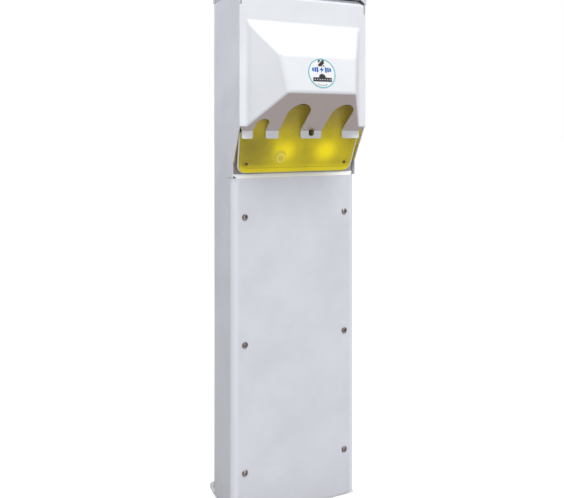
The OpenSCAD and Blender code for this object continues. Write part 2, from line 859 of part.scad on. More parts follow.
// Flat round lamps with a domed cover
module lamps() {
    color([0.97, 0.95, 0.80]) from_front() for (x = lamp_xs) translate([x, bracket_y, lamp_z]) {
        peg(lamp_d / 2, 6);
        translate([0, -6, 0]) rotate([90, 0, 0]) rotate_extrude()
            polygon([[0, 0], [lamp_d / 2 - 1, 0], [lamp_d / 2 - 2, 3], [lamp_d / 4, 6], [0, 7]]);
    }
}

module lamp_driver() {
    color(black_plastic) from_front() translate([-78, 44, divider_z + 2]) difference() {
        cube([70, 38, 26]);
        translate([-1, 19, 14]) rotate([0, 90, 0]) cylinder(r = 3, h = 12);
    }
}

// Light sensor: a pale dome with a ring, just behind the lens
module photocell() {
    front = lens_y(photocell_z) + lens_depth + 3;
    color([0.90, 0.88, 0.70]) from_front() translate([photocell_x, 0, photocell_z]) {
        translate([0, tray_back - tray_t, 0]) peg(7, tray_back - tray_t - front - 8);
        translate([0, front + 9, 0]) rotate([90, 0, 0]) rotate_extrude()
            polygon([[0, 0], [9, 0], [9, 3], [7.5, 6], [4.5, 8], [0, 8.6]]);
    }
}

// ---- Socket panel ----

panel_t = 2;
panel_top = hinge_z - 5;
panel_half = inner_half - return_w - 4;
button_x = 78;

module panel_profile() {
    foot_y = panel_face_y + face_run;
    foot_z = shelf_z - panel_t + touch;
    polygon([[panel_face_y, panel_top], [panel_face_y, face_top], [foot_y, face_low],
        [foot_y, shelf_z], [foot_y - 12, shelf_z], [foot_y - 12, foot_z], [foot_y + panel_t, foot_z],
        [foot_y + panel_t, face_low + 0.4], [panel_face_y + panel_t, face_top + 0.4],
        [panel_face_y + panel_t, panel_top]]);
}

module socket_panel() {
    color(grey_plastic) from_front() difference() {
        union() {
            side_plate(2 * panel_half) panel_profile();
            both_sides() translate([panel_half - 12, panel_face_y, face_top + 6])
                cube([inner_half - header_t - seam - panel_half + 12, panel_t, panel_top - face_top - 6]);
        }
        for (i = [0 : 2]) at_socket(socket_xs[i]) translate([0, 0, -10])
            cylinder(r = socket_ds[i] / 2 - 6, h = 20);
        translate([breaker_xs[0] - 9.5, panel_face_y - 1, breaker_z - nose_h / 2 - 0.5])
            cube([breaker_xs[2] + 18.5 - breaker_xs[0] + 9.5, 5, nose_h + 1]);
        translate([button_x, panel_face_y + 5, breaker_z]) peg(5.3, 10);
        for (s = [-1, 1]) translate([s * (panel_half - 12), panel_face_y + 6, panel_top - 5]) peg(2, 10);
    }
}

module socket_panel_screws() {
    head_y = panel_face_y + panel_t;
    color(steel) from_front() for (s = [-1, 1]) translate([s * (panel_half - 12), head_y, panel_top - 5]) {
        translate([0, 1.4, 0]) peg(3.6, 1.4);
        peg(2, panel_t - 0.1);
    }
}

function flap_pin_up(i) = socket_ds[i] / 2 + 1;
function flap_pin_out(i) = socket_t + 1.5;

module flap_lugs(i) {
    both_sides() translate([8.5, flap_pin_up(i) - flap_barrel_r - 0.8, 0])
        cube([2.5, 2 * flap_barrel_r + 0.8, flap_pin_out(i) + 2.4]);
}

// Round flanged housings, each with a deep body behind the panel
module socket_housings() {
    color([0.80, 0.72, 0.16]) from_front() for (i = [0 : 2]) at_socket(socket_xs[i]) {
        r = socket_ds[i] / 2;
        difference() {
            union() {
                cylinder(r = r, h = socket_t);
                translate([0, 0, -34]) cylinder(r = r - 6.4, h = 35);
                flap_lugs(i);
            }
            translate([0, 0, -20]) cylinder(r = r - 11, h = 40);
            for (a = [45 : 90 : 315]) rotate(a) translate([r - 3.4, 0, -1]) cylinder(r = 1.3, h = 10);
            translate([-8.5, r - 2.6 - flap_barrel_r, socket_t - 2]) cube([17, 20, 10]);
            translate([-15, flap_pin_up(i), flap_pin_out(i)]) rotate([0, 90, 0])
                cylinder(r = flap_pin_r, h = 30);
        }
    }
}

module socket_inserts() {
    color(black_plastic) from_front() for (i = [0 : 2]) at_socket(socket_xs[i]) {
        r = socket_ds[i] / 2;
        difference() {
            translate([0, 0, -20]) cylinder(r = r - 11, h = 14);
            for (a = [0 : 120 : 240]) rotate(a) translate([r * 0.38 - 1.2, -3, -19]) cube([2.4, 6, 20]);
        }
    }
}

module socket_contacts() {
    color(brass) from_front() for (i = [0 : 2]) at_socket(socket_xs[i]) {
        r = socket_ds[i] / 2;
        for (a = [0 : 120 : 240]) rotate(a) translate([r * 0.38 - 0.6, -3, -19]) cube([1.2, 6, 8]);
    }
}

module socket_screws() {
    color(steel) from_front() for (i = [0 : 2]) at_socket(socket_xs[i]) for (a = [225, 315])
        rotate(a) translate([socket_ds[i] / 2 - 3.4, 0, 0]) {
            translate([0, 0, socket_t]) cylinder(r = 2.2, h = 1);
            cylinder(r = 1.3, h = socket_t);
        }
}

// ---- Sprung flaps over the sockets ----

module flap_pins() {
    color(steel) from_front() for (i = [0 : 2]) at_socket(socket_xs[i])
        translate([-11, flap_pin_up(i), flap_pin_out(i)]) rotate([0, 90, 0])
            cylinder(r = flap_pin_r, h = 22);
}

module flap(i) {
    r = socket_ds[i] / 2 - 2.5;
    up = flap_pin_up(i);
    out = flap_pin_out(i);
    at_socket(socket_xs[i]) difference() {
        union() {
            translate([0, 0, socket_t + free_gap + 1]) cylinder(r = r, h = flap_t);
            translate([-6, 0, socket_t + free_gap + 1]) cube([12, up, flap_t]);
            translate([-8, up, out]) rotate([0, 90, 0]) cylinder(r = flap_barrel_r, h = 16);
            translate([-7, -r - 3, socket_t + free_gap + 1]) cube([14, 6, flap_t]);
        }
        translate([-9, up, out]) rotate([0, 90, 0]) cylinder(r = flap_pin_r + pin_play, h = 18);
    }
}

module flap_small() {
    color([0.80, 0.72, 0.16]) from_front() flap(0);
}

module flap_left() {
    color([0.80, 0.72, 0.16]) from_front() flap(1);
}

module flap_right() {
    color([0.80, 0.72, 0.16]) from_front() flap(2);
}

// ---- Breakers ----

rail_face_y = breaker_front + 62;

module din_rail() {
    w = 170;
    color(zinc) from_front() {
        translate([-w / 2, rail_face_y + 6, breaker_z - 12]) cube([w, 1.2, 24]);
        for (s = [0, 1]) translate([-w / 2, rail_face_y + 0.2, breaker_z - 13 + s * 24.8]) cube([w, 7, 1.2]);
        for (s = [0, 1]) translate([-w / 2, rail_face_y + 0.2, breaker_z - 17.5 + s * 29.3])
            cube([w, 1.2, 5.7]);
        for (x = [-w / 2, w / 2 - 12]) translate([x, rail_face_y + 7.2, breaker_z - 12])
            cube([12, post_d - sheet_t - rail_face_y - 7.2, 24]);
    }
}

module lever_pin(r) {
    translate([-7, lever_axis_y, breaker_z]) rotate([0, 90, 0]) cylinder(r = r, h = 14);
}

module breaker(w) {
    difference() {
        union() {
            translate([-w / 2 + 0.2, breaker_front, breaker_z - nose_h / 2]) cube([w - 0.4, 20, nose_h]);
            translate([-w / 2 + 0.2, breaker_front + 18, breaker_z - breaker_h / 2])
                cube([w - 0.4, 44, breaker_h]);
        }
        translate([-4.4, breaker_front - 1, breaker_z - 13]) cube([8.8, 14, 26]);
        lever_pin(lever_pin_r);
    }
}

module breakers() {
    color([0.20, 0.21, 0.23]) from_front() for (i = [0 : 2])
        translate([breaker_xs[i], 0, 0]) breaker(breaker_ws[i]);
}

module lever_pins() {
    color(steel) from_front() for (x = breaker_xs) translate([x, 0, 0]) lever_pin(lever_pin_r);
}

// Toggle: a barrel in the breaker's slot and a paddle that stands out of it
module lever(i) {
    translate([breaker_xs[i], 0, 0]) difference() {
        translate([-4, lever_axis_y, breaker_z]) {
            rotate([0, 90, 0]) cylinder(r = lever_r, h = 8);
            rotate([-25, 0, 0]) translate([0, -14, -2]) cube([8, 14, 4]);
        }
        lever_pin(lever_pin_r + pin_play);
    }
}

module lever_small() {
    color([0.85, 0.85, 0.86]) from_front() lever(0);
}

module lever_left() {
    color([0.85, 0.85, 0.86]) from_front() lever(1);
}

module lever_right() {
    color([0.85, 0.85, 0.86]) from_front() lever(2);
}

button_travel = 2.5;

module button_housing() {
    color(black_plastic) from_front() translate([button_x, panel_face_y + panel_t, breaker_z]) difference() {
        translate([-11, 0, -11]) cube([22, 26, 22]);
        translate([0, 14, 0]) peg(6.5, 15);
    }
}

module test_button() {
    panel_back = panel_face_y + panel_t;
    collar_l = 3.5;
    collar_y = panel_back + free_gap + collar_l;
    color([0.15, 0.35, 0.75]) from_front() translate([button_x, collar_y, breaker_z]) {
        peg(5, collar_l + free_gap + panel_t + button_travel + 1.5);
        peg(6.1, collar_l);
    }
}

// ---- Gear in the wiring space ----

gear_low = 380;
gear_h = 200;
gear_w = 170;
gear_y = post_d - sheet_t - 10;
gear_t = 2;
block_z = gear_low + 130;
bar_z = gear_low + 40;
terminal_count = 4;
terminal_pitch = 24;

module gear_corners() {
    for (x = [-gear_w / 2 + 12, gear_w / 2 - 12], z = [gear_low + 12, gear_low + gear_h - 12])
        translate([x, 0, z]) children();
}

module gear_plate() {
    color(zinc) from_front() difference() {
        translate([-gear_w / 2, gear_y, gear_low]) cube([gear_w, gear_t, gear_h]);
        gear_corners() translate([0, gear_y + 5, 0]) peg(2.5, 10);
    }
}

module plate_standoffs() {
    color(steel) from_front() gear_corners() {
        translate([0, post_d - sheet_t, 0]) peg(5, post_d - sheet_t - gear_y - gear_t);
        translate([0, gear_y + gear_t, 0]) peg(2.5, gear_t);
        translate([0, gear_y, 0]) peg(4.5, 3);
    }
}

function terminal_x(i) = (i - (terminal_count - 1) / 2) * terminal_pitch;

module terminal_block() {
    w = terminal_count * terminal_pitch;
    color([0.88, 0.88, 0.84]) from_front() difference() {
        union() {
            translate([-w / 2, gear_y - 18, block_z - 20]) cube([w, 18, 40]);
            for (i = [0 : terminal_count])
                translate([(i - terminal_count / 2) * terminal_pitch - 1, gear_y - 28, block_z - 20])
                    cube([2, 11, 40]);
        }
        for (i = [0 : terminal_count - 1], s = [-1, 1])
            translate([terminal_x(i), gear_y - 6, block_z + s * 10]) peg(2.5, 20);
    }
}

module terminal_screws() {
    color(brass) from_front() for (i = [0 : terminal_count - 1], s = [-1, 1])
        translate([terminal_x(i), gear_y - 18, block_z + s * 10]) {
            translate([0, -1.5, 0]) peg(4, 3);
            translate([-6, -1.5, -6]) cube([12, 1.5, 12]);
            translate([0, 10, 0]) peg(2.5, 10);
        }
}

module ground_bar() {
    color(brass) from_front() difference() {
        union() {
            translate([-50, gear_y - 16, bar_z - 5]) cube([100, 8, 10]);
            for (x = [-44, 36]) translate([x, gear_y - 9, bar_z - 4]) cube([8, 9, 8]);
        }
        for (x = [-28 : 14 : 28]) translate([x, gear_y - 10, bar_z]) peg(2, 10);
    }
}

module ground_screws() {
    color(steel) from_front() for (x = [-28 : 14 : 28]) translate([x, gear_y - 16, bar_z]) {
        peg(3.4, 2.4);
        translate([0, 6, 0]) peg(2, 6);
    }
}

// ---- Fixed wiring ----

wire_r = 2.4;
thin_wire_r = 1.4;
riser_y = grommet_y;

wire_sides = [-1, 1, 1];

module supply_wires() {
    top = breaker_z - breaker_h / 2 - 0.2;
    start_y = gear_y - 21;
    color([0.15, 0.15, 0.16]) from_front() for (i = [0 : 2]) {
        x = grommet_x - 6 + i * 6;
        end_x = breaker_xs[i] - wire_sides[i] * 5;
        run_z = block_z + 40 + (2 - i) * 9;
        cross_z = top - 64 + i * 9;
        tube([[terminal_x(i), start_y, block_z + 16.2], [terminal_x(i), start_y, run_z], [x, start_y, run_z],
            [x, riser_y, run_z + 40], [x, riser_y, cross_z], [end_x, riser_y - 12, cross_z],
            [end_x, breaker_front + 58, top - 22], [end_x, breaker_front + 58, top]], wire_r, 7);
    }
}

module socket_wires() {
    depth = 34.2;
    reach = depth + 9;
    top = breaker_z - breaker_h / 2 - 0.2;
    color([0.70, 0.12, 0.10]) from_front() for (i = [0 : 2]) {
        x = socket_xs[i] + 6;
        end_x = breaker_xs[i] + wire_sides[i] * 5;
        tube([[x, socket_y + depth * cos(face_tilt), socket_z + depth * sin(face_tilt)],
            [x, socket_y + reach * cos(face_tilt), socket_z + reach * sin(face_tilt)],
            [end_x, breaker_front + 51, top - 9], [end_x, breaker_front + 51, top]], thin_wire_r + 0.4, 4);
    }
}

module lamp_wires() {
    y = tray_back + 10;
    driver_z = divider_z + 16;
    color([0.90, 0.90, 0.88]) from_front() tube([[-60, bracket_y + 3, wire_hole_z], [-60, y, wire_hole_z],
        [-84, y + 6, wire_hole_z - 10], [-88, 63, driver_z + 30], [-88, 63, driver_z], [-76, 63, driver_z]],
        thin_wire_r, 5);
}

module ground_wire() {
    down_x = inner_half - 14;
    down_y = foot_bolt_y + 8;
    foot_z = base_t + foot_t + 6;
    color([0.15, 0.55, 0.20]) from_front() tube([[50, gear_y - 12, bar_z], [68, gear_y - 12, bar_z],
        [down_x, down_y, bar_z - 60], [down_x, down_y, foot_z + 8],
        [down_x - 4, down_y - 2, foot_z]], thin_wire_r + 0.4, 7);
}

base_plate();
conduit_bushing();
shell_feet();
foot_bolts();
post_shell();
top_cap();
cap_screws();
header_rail();
panel_rails();
shell_rivets();
access_panel();
panel_gasket();
panel_screws();
divider_shelf();
wire_grommet();
hinge_leaves_fixed();
hinge_leaves_door();
hinge_pins();
hinge_screws();
hinge_rivets();
hood_door();
door_bumpers();
lock_staple();
badge();
light_tray();
lens();
lens_screws();
lamp_bracket();
lamps();
lamp_driver();
photocell();
socket_panel();
socket_panel_screws();
socket_housings();
socket_inserts();
socket_contacts();
socket_screws();
flap_pins();
flap_small();
flap_left();
flap_right();
din_rail();
breakers();
lever_pins();
lever_small();
lever_left();
lever_right();
button_housing();
test_button();
gear_plate();
plate_standoffs();
terminal_block();
terminal_screws();
ground_bar();
ground_screws();
supply_wires();
socket_wires();
lamp_wires();
ground_wire();
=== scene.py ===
"""Looks of the charging post: folded sheet metal, a formed hood, a glowing light box and their fittings."""
import json
import math

import bmesh
import bpy
from mathutils import Matrix, Vector


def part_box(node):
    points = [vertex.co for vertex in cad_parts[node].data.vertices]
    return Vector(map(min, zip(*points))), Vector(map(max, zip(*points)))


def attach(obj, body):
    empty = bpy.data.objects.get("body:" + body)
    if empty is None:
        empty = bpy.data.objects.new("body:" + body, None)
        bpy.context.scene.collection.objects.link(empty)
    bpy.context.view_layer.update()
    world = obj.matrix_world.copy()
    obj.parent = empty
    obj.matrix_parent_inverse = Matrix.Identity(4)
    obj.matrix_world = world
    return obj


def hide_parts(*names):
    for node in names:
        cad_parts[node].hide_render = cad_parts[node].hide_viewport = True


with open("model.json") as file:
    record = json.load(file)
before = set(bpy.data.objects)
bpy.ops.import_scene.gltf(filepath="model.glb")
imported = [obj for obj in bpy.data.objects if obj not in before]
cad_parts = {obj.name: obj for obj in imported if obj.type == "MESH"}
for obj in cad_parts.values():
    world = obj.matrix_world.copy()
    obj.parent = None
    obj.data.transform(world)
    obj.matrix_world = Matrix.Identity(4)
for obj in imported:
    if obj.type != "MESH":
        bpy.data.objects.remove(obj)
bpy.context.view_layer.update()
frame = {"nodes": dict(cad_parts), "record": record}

RECORD = frame["record"]
MM = 0.001

# ---- Places, in millimetres: X from the middle, Y from the access panel's face, Z from the ground ----

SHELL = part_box("post_shell")
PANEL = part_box("access_panel")
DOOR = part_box("hood_door")
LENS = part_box("lens")
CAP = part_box("top_cap")
FRONT_Y = PANEL[0].y


def from_face(y):
    return (y - FRONT_Y) / MM


def at(x, y, z):
    return Vector((x * MM, FRONT_Y + y * MM, z * MM))


def middle(node):
    low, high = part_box(node)
    mid = (low + high) / 2
    return mid.x / MM, from_face(mid.y), mid.z / MM


# Post and cap
HALF_W = SHELL[1].x / MM
SHEET = 2.0
RETURN_W = 10.0
CAP_SHEET = 1.5
BACK = from_face(SHELL[1].y)
SHELL_LOW, SHELL_TOP = SHELL[0].z / MM, SHELL[1].z / MM
DOOR_FACE = from_face(SHELL[0].y)
BAND_TOP = DOOR[1].z / MM
CAP_TOP = CAP[1].z / MM
CAP_HALF = CAP[1].x / MM
CAP_FRONT, CAP_BACK = from_face(CAP[0].y), from_face(CAP[1].y)
EAVES = BAND_TOP + 2
SIDE_FOOT = 652.0

# Hood door: folds are given by how far they stand out from the door's face and how far up from its foot
DOOR_T = 2.5
HOOD_FRONT = from_face(DOOR[0].y)
LIP_LOW = DOOR[0].z / MM
LIP_H = 13.5
LIP_BACK = 10.5
LIP_HALF = 119.0
LIP_CORNER = 4.0
FOLD_LOW_OUT = DOOR_FACE - HOOD_FRONT
FOLD_LOW_UP = 57.0
FOLD_HIGH_OUT, FOLD_HIGH_UP = 57.0, 122.5
HOOD_UP = 185.0
HOOD_ROOT = 113.0
SIDE_DRAFT = 0.684
LIP_TOP = LIP_LOW + LIP_H
LIP_FACE = DOOR_FACE + LIP_BACK
DOOR_LOW = LIP_TOP + LIP_BACK * FOLD_LOW_UP / FOLD_LOW_OUT
DOOR_TOP = BAND_TOP - 9
FULL_TOP = DOOR_TOP - 16.5
NARROW = HALF_W - 3.5
BAND_HALF = HALF_W - 10.5

# Cable slots in the door: middle, width, and how far each reaches out from the door's face
SLOTS = ((-86.0, 25.0, 16.0), (-26.5, 44.0, 48.0), (60.0, 44.0, 48.0))
LOCK_X, LOCK_HALF = 16.75, 4.8

# Access panel
PANEL_LOW, LEDGE_TOP = PANEL[0].z / MM, PANEL[1].z / MM
PANEL_TOP = LEDGE_TOP - 7.5
PANEL_BEND = 14.5
PANEL_BACK = from_face(PANEL[1].y)
LEDGE_FRONT, LEDGE_CREST = 0.6, 8.0
LEDGE_SLOPE = (LEDGE_TOP - 0.3 - PANEL_TOP) / (LEDGE_CREST - LEDGE_FRONT)

# Screws: heads' places and radii
PANEL_SCREW_X, PANEL_SCREW_LOW, PANEL_SCREW_STEP, PANEL_SCREW_R = 102.7, 91.0, 231.0, 5.75
LENS_SCREW_X, LENS_SCREW_Z, LENS_SCREW_R = 101.0, 649.0, 2.6
CAP_SCREW_R = 3.2


# ---- Mesh helpers ----

class Sheet:
    """A folded sheet drawn as flat faces. fold() says what share of the bend radius an edge gets."""

    def __init__(self):
        self.bm = bmesh.new()
        self.weights = self.bm.edges.layers.float.new("bevel_weight_edge")
        self.known = {}

    def vert(self, p):
        key = tuple(round(c, 4) for c in p)
        if key not in self.known:
            self.known[key] = self.bm.verts.new(at(*p))
        return self.known[key]

    def face(self, *points):
        return self.bm.faces.new([self.vert(p) for p in points])

    def fold(self, a, b, share):
        edge = self.bm.edges.get((self.vert(a), self.vert(b)))
        edge[self.weights] = share

    def mesh(self, name, outward):
        """The finished mesh, with the face nearest to the outward direction turned that way."""
        bmesh.ops.recalc_face_normals(self.bm, faces=self.bm.faces)
        self.bm.normal_update()
        first = max(self.bm.faces, key=lambda f: abs(f.normal.dot(outward)) * f.calc_area())
        if first.normal.dot(outward) < 0:
            bmesh.ops.reverse_faces(self.bm, faces=self.bm.faces)
        return finish_mesh(self.bm, name)


def finish_mesh(bm, name):
    mesh = bpy.data.meshes.new(name)
    bm.to_mesh(mesh)
    bm.free()
    return mesh


def thing(name, mesh):
    made = bpy.data.objects.new(name, mesh)
    bpy.context.scene.collection.objects.link(made)
    return made


def modifier(target, kind, **values):
    made = target.modifiers.new(kind.lower(), kind)
    for key, value in values.items():
        setattr(made, key, value)
    return made


def bake(target):
    """Applies every modifier, so that what follows works on the real faces."""
    bpy.context.view_layer.update()
    graph = bpy.context.evaluated_depsgraph_get()
    mesh = bpy.data.meshes.new_from_object(target.evaluated_get(graph))
    target.modifiers.clear()
    target.data = mesh


def bend(target, radius, steps=4):
    """Rounds the sheet's weighted folds."""
    modifier(target, "BEVEL", limit_method="WEIGHT", width=radius * MM, segments=steps,
             use_clamp_overlap=True)


def thicken(target, thickness):
    modifier(target, "SOLIDIFY", thickness=thickness * MM, offset=-1.0, use_even_offset=True)


def cut(target, cutters):
    """Cuts a list of closed meshes out of the target."""
    tools = []
    for i, mesh in enumerate(cutters):
        tool = thing(f"tool_{i}", mesh)
        modifier(target, "BOOLEAN", object=tool, operation="DIFFERENCE", solver="EXACT")
        tools.append(tool)
    bake(target)
    for tool in tools:
        bpy.data.objects.remove(tool)


def edge_break(target, width, angle=35.0, steps=2):
    """Breaks the sharp edges, so that they catch the light, and keeps flat faces flat."""
    modifier(target, "BEVEL", limit_method="ANGLE", angle_limit=math.radians(angle), width=width * MM,
             segments=steps, use_clamp_overlap=True, harden_normals=False)
    for polygon in target.data.polygons:
        polygon.use_smooth = True
    modifier(target, "WEIGHTED_NORMAL", mode="FACE_AREA", weight=50, keep_sharp=True)


def skin(bm, rings, looped=False):
    """Joins rings of points with faces. The two ends are closed, or joined to each other when looped."""
    if not looped:
        bm.faces.new(rings[0])
        bm.faces.new(rings[-1])
    following = [*rings[1:], rings[0]] if looped else rings[1:]
    for a, b in zip(rings, following):
        for i in range(len(a)):
            j = (i + 1) % len(a)
            bm.faces.new((a[i], a[j], b[j], b[i]))
    bmesh.ops.recalc_face_normals(bm, faces=bm.faces)


def box_outline(x, y, wide, high):
    return [(x + a * wide / 2, y + b * high / 2) for a, b in ((-1, -1), (1, -1), (1, 1), (-1, 1))]


def prism(name, outline, start, end, axis):
    """A closed prism. The outline's two coordinates are the two axes left over, in X, Y, Z order."""
    def turned(a, b, c):
        return {"X": (c, a, b), "Y": (a, c, b), "Z": (a, b, c)}[axis]

    bm = bmesh.new()
    skin(bm, [[bm.verts.new(at(*turned(a, b, c))) for a, b in outline] for c in (start, end)])
    return finish_mesh(bm, name)


def flat_shapes(name, outlines, low, high):
    """Closed upright shapes in one mesh, in millimetres on the local X and Y axes."""
    bm = bmesh.new()
    for outline in outlines:
        skin(bm, [[bm.verts.new((a * MM, b * MM, h * MM)) for a, b in outline] for h in (low, high)])
    return finish_mesh(bm, name)


def arc(x, y, radius, start, end, steps=8):
    """Points along an arc, angles in degrees."""
    turns = [math.radians(start + (end - start) * i / steps) for i in range(steps + 1)]
    return [(x + radius * math.cos(t), y + radius * math.sin(t)) for t in turns]


def lathe(name, profile, steps=48):
    """Turns a profile of (radius, height) points round the local Z axis, in millimetres."""
    bm = bmesh.new()
    turns = [2 * math.pi * k / steps for k in range(steps)]
    rings = []
    for radius, height in profile:
        if radius == 0:
            rings.append([bm.verts.new((0, 0, height * MM))])
            continue
        points = [(radius * MM * math.cos(t), radius * MM * math.sin(t), height * MM) for t in turns]
        rings.append([bm.verts.new(point) for point in points])
    for low, high in zip(rings, rings[1:]):
        for k in range(steps):
            m = (k + 1) % steps
            corners = [low[k % len(low)], low[m % len(low)], high[m % len(high)], high[k % len(high)]]
            bm.faces.new(list(dict.fromkeys(corners)))
    bmesh.ops.recalc_face_normals(bm, faces=bm.faces)
    return finish_mesh(bm, name)


def place(target, body, slot, *nodes):
    """Dresses a finished piece: its material, the body that it rides on and the nodes that it stands for."""
    target.data.materials.clear()
    target.data.materials.append(material_of(slot))
    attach(target, body)
    if nodes:
        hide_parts(*nodes)
    return target


# ---- Node helpers and the shared effects ----

class Graph:
    """Short words for building a node tree."""

    def __init__(self, tree):
        self.tree = tree

    def node(self, kind, inputs=None, **values):
        made = self.tree.nodes.new(kind)
        for key, value in values.items():
            setattr(made, key, value)
        for key, value in (inputs or {}).items():
            self.feed(made.inputs[key], value)
        return made

    def feed(self, socket, value):
        if isinstance(value, bpy.types.NodeSocket):
            self.tree.links.new(value, socket)
        else:
            socket.default_value = value

    def math(self, operation, *values, clamp=False):
        made = self.node("ShaderNodeMath", operation=operation, use_clamp=clamp)
        for i, value in enumerate(values):
            self.feed(made.inputs[i], value)
        return made.outputs[0]

    def spread(self, value, low, high, to_low=0.0, to_high=1.0):
        """Maps a range smoothly. A range given high to low falls instead of rising."""
        plain = not any(isinstance(v, bpy.types.NodeSocket) for v in (low, high))
        if plain and low > high:
            low, high, to_low, to_high = high, low, to_high, to_low
        made = self.node("ShaderNodeMapRange", {"From Min": low, "From Max": high, "To Min": to_low,
                                                "To Max": to_high}, interpolation_type="SMOOTHSTEP")
        self.feed(made.inputs["Value"], value)
        return made.outputs["Result"]

    def blend(self, share, a, b):
        """Colour a where the share is 0, and b where it is 1."""
        made = self.node("ShaderNodeMix", data_type="RGBA")
        for key, value in (("Factor_Float", share), ("A_Color", a), ("B_Color", b)):
            socket = next(s for s in made.inputs if s.identifier == key)
            self.feed(socket, value)
        return next(s for s in made.outputs if s.identifier == "Result_Color")

    def facing(self):
        """Which way the surface looks, as X, Y and Z in the piece's own frame, so it moves with the piece."""
        normal = self.node("ShaderNodeTexCoord").outputs["Normal"]
        return self.node("ShaderNodeSeparateXYZ", {"Vector": normal}).outputs

    def noise(self, vector, scale, detail=2.0, roughness=0.5):
        made = self.node("ShaderNodeTexNoise", {"Vector": vector, "Scale": scale, "Detail": detail,
                                                "Roughness": roughness})
        return made.outputs["Fac"]


def group(name, inputs, outputs, build):
    """A shader node group. build gets the graph, the group's inputs and a function that sets an output."""
    tree = bpy.data.node_groups.new(name, "ShaderNodeTree")
    for label, value in inputs.items():
        made = tree.interface.new_socket(label, in_out="INPUT", socket_type="NodeSocketFloat")
        made.default_value = value
    for label, kind in outputs.items():
        tree.interface.new_socket(label, in_out="OUTPUT", socket_type=kind)
    graph = Graph(tree)
    entry = graph.node("NodeGroupInput")
    leave = graph.node("NodeGroupOutput")
    build(graph, entry.outputs, lambda label, value: graph.feed(leave.inputs[label], value))
    return tree


def build_grain(graph, given, give):
    """Fine moulded or sprayed texture, and slow cloudy tone over the whole surface."""
    where = graph.node("ShaderNodeTexCoord").outputs["Object"]
    fine = graph.noise(where, given["Scale"], 3.0, 0.6)
    cloud = graph.noise(where, given["Cloud Scale"], 4.0, 0.62)
    speck = graph.noise(where, graph.math("MULTIPLY", given["Scale"], 0.35), 2.0, 0.5)
    give("Height", fine)
    give("Cloud", graph.spread(cloud, 0.32, 0.68))
    give("Specks", graph.spread(speck, 0.62, 0.74))


def build_dust(graph, given, give):
    """Grime that gathers towards the ground and on faces that look up."""
    spot = graph.node("ShaderNodeTexCoord").outputs["Object"]
    parts = graph.node("ShaderNodeSeparateXYZ", {"Vector": spot}).outputs
    patch = graph.noise(spot, 38.0, 5.0, 0.7)
    low = graph.spread(parts["Z"], 0.0, given["Reach"], 1.0, 0.0)
    up = graph.spread(graph.facing()["Z"], 0.55, 1.0)
    both = graph.math("MAXIMUM", low, graph.math("MULTIPLY", up, given["On Top"]))
    give("Mask", graph.math("MULTIPLY", both, graph.spread(patch, 0.25, 0.75, 0.35, 1.0)))


def build_brushed(graph, given, give):
    """Fine lines drawn out along X, as rolled or brushed metal has, with a few dull spots."""
    spot = graph.node("ShaderNodeTexCoord").outputs["Object"]
    parts = graph.node("ShaderNodeSeparateXYZ", {"Vector": spot}).outputs
    long = graph.math("MULTIPLY", parts["X"], 0.04)
    drawn = graph.node("ShaderNodeCombineXYZ", {"X": long, "Y": parts["Y"], "Z": parts["Z"]}).outputs[0]
    give("Lines", graph.noise(drawn, given["Scale"], 3.0, 0.65))
    give("Dull", graph.spread(graph.noise(spot, 60.0, 3.0, 0.6), 0.45, 0.7))


FLOAT = "NodeSocketFloat"
GRAIN = group("Grain", {"Scale": 900.0, "Cloud Scale": 9.0},
              {"Height": FLOAT, "Cloud": FLOAT, "Specks": FLOAT}, build_grain)
DUST = group("Dust", {"Reach": 0.18, "On Top": 0.08}, {"Mask": FLOAT}, build_dust)
BRUSHED = group("Brushed", {"Scale": 1400.0}, {"Lines": FLOAT, "Dull": FLOAT}, build_brushed)


def use(graph, tree, **values):
    made = graph.node("ShaderNodeGroup", node_tree=tree)
    for key, value in values.items():
        made.inputs[key.replace("_", " ")].default_value = value
    return made.outputs


def shade(color, factor):
    """The colour made darker or lighter, with a full alpha."""
    return tuple(min(1.0, c * factor) for c in color[:3]) + (1.0,)


def recorded_color(slot):
    """The record's base colour, which is given as it shows on a screen, turned into linear light."""
    shown = next(m for m in RECORD["materials"] if m["slot"] == slot)["base_color"][:3]
    return tuple(((c + 0.055) / 1.055) ** 2.4 if c > 0.04045 else c / 12.92 for c in shown) + (1.0,)


def new_material(name):
    made = bpy.data.materials.new(name)
    made.use_nodes = True
    tree = made.node_tree
    tree.nodes.clear()
    graph = Graph(tree)
    shader = graph.node("ShaderNodeBsdfPrincipled")
    leave = graph.node("ShaderNodeOutputMaterial")
    tree.links.new(shader.outputs[0], leave.inputs["Surface"])
    return made, graph, shader.inputs


def bump(graph, sockets, height, distance, strength=0.35):
    made = graph.node("ShaderNodeBump", {"Height": height, "Distance": distance, "Strength": strength})
    graph.feed(sockets["Normal"], made.outputs["Normal"])


GROUND_DUST = (0.30, 0.28, 0.25, 1.0)
PLASTIC_IOR = 1.5


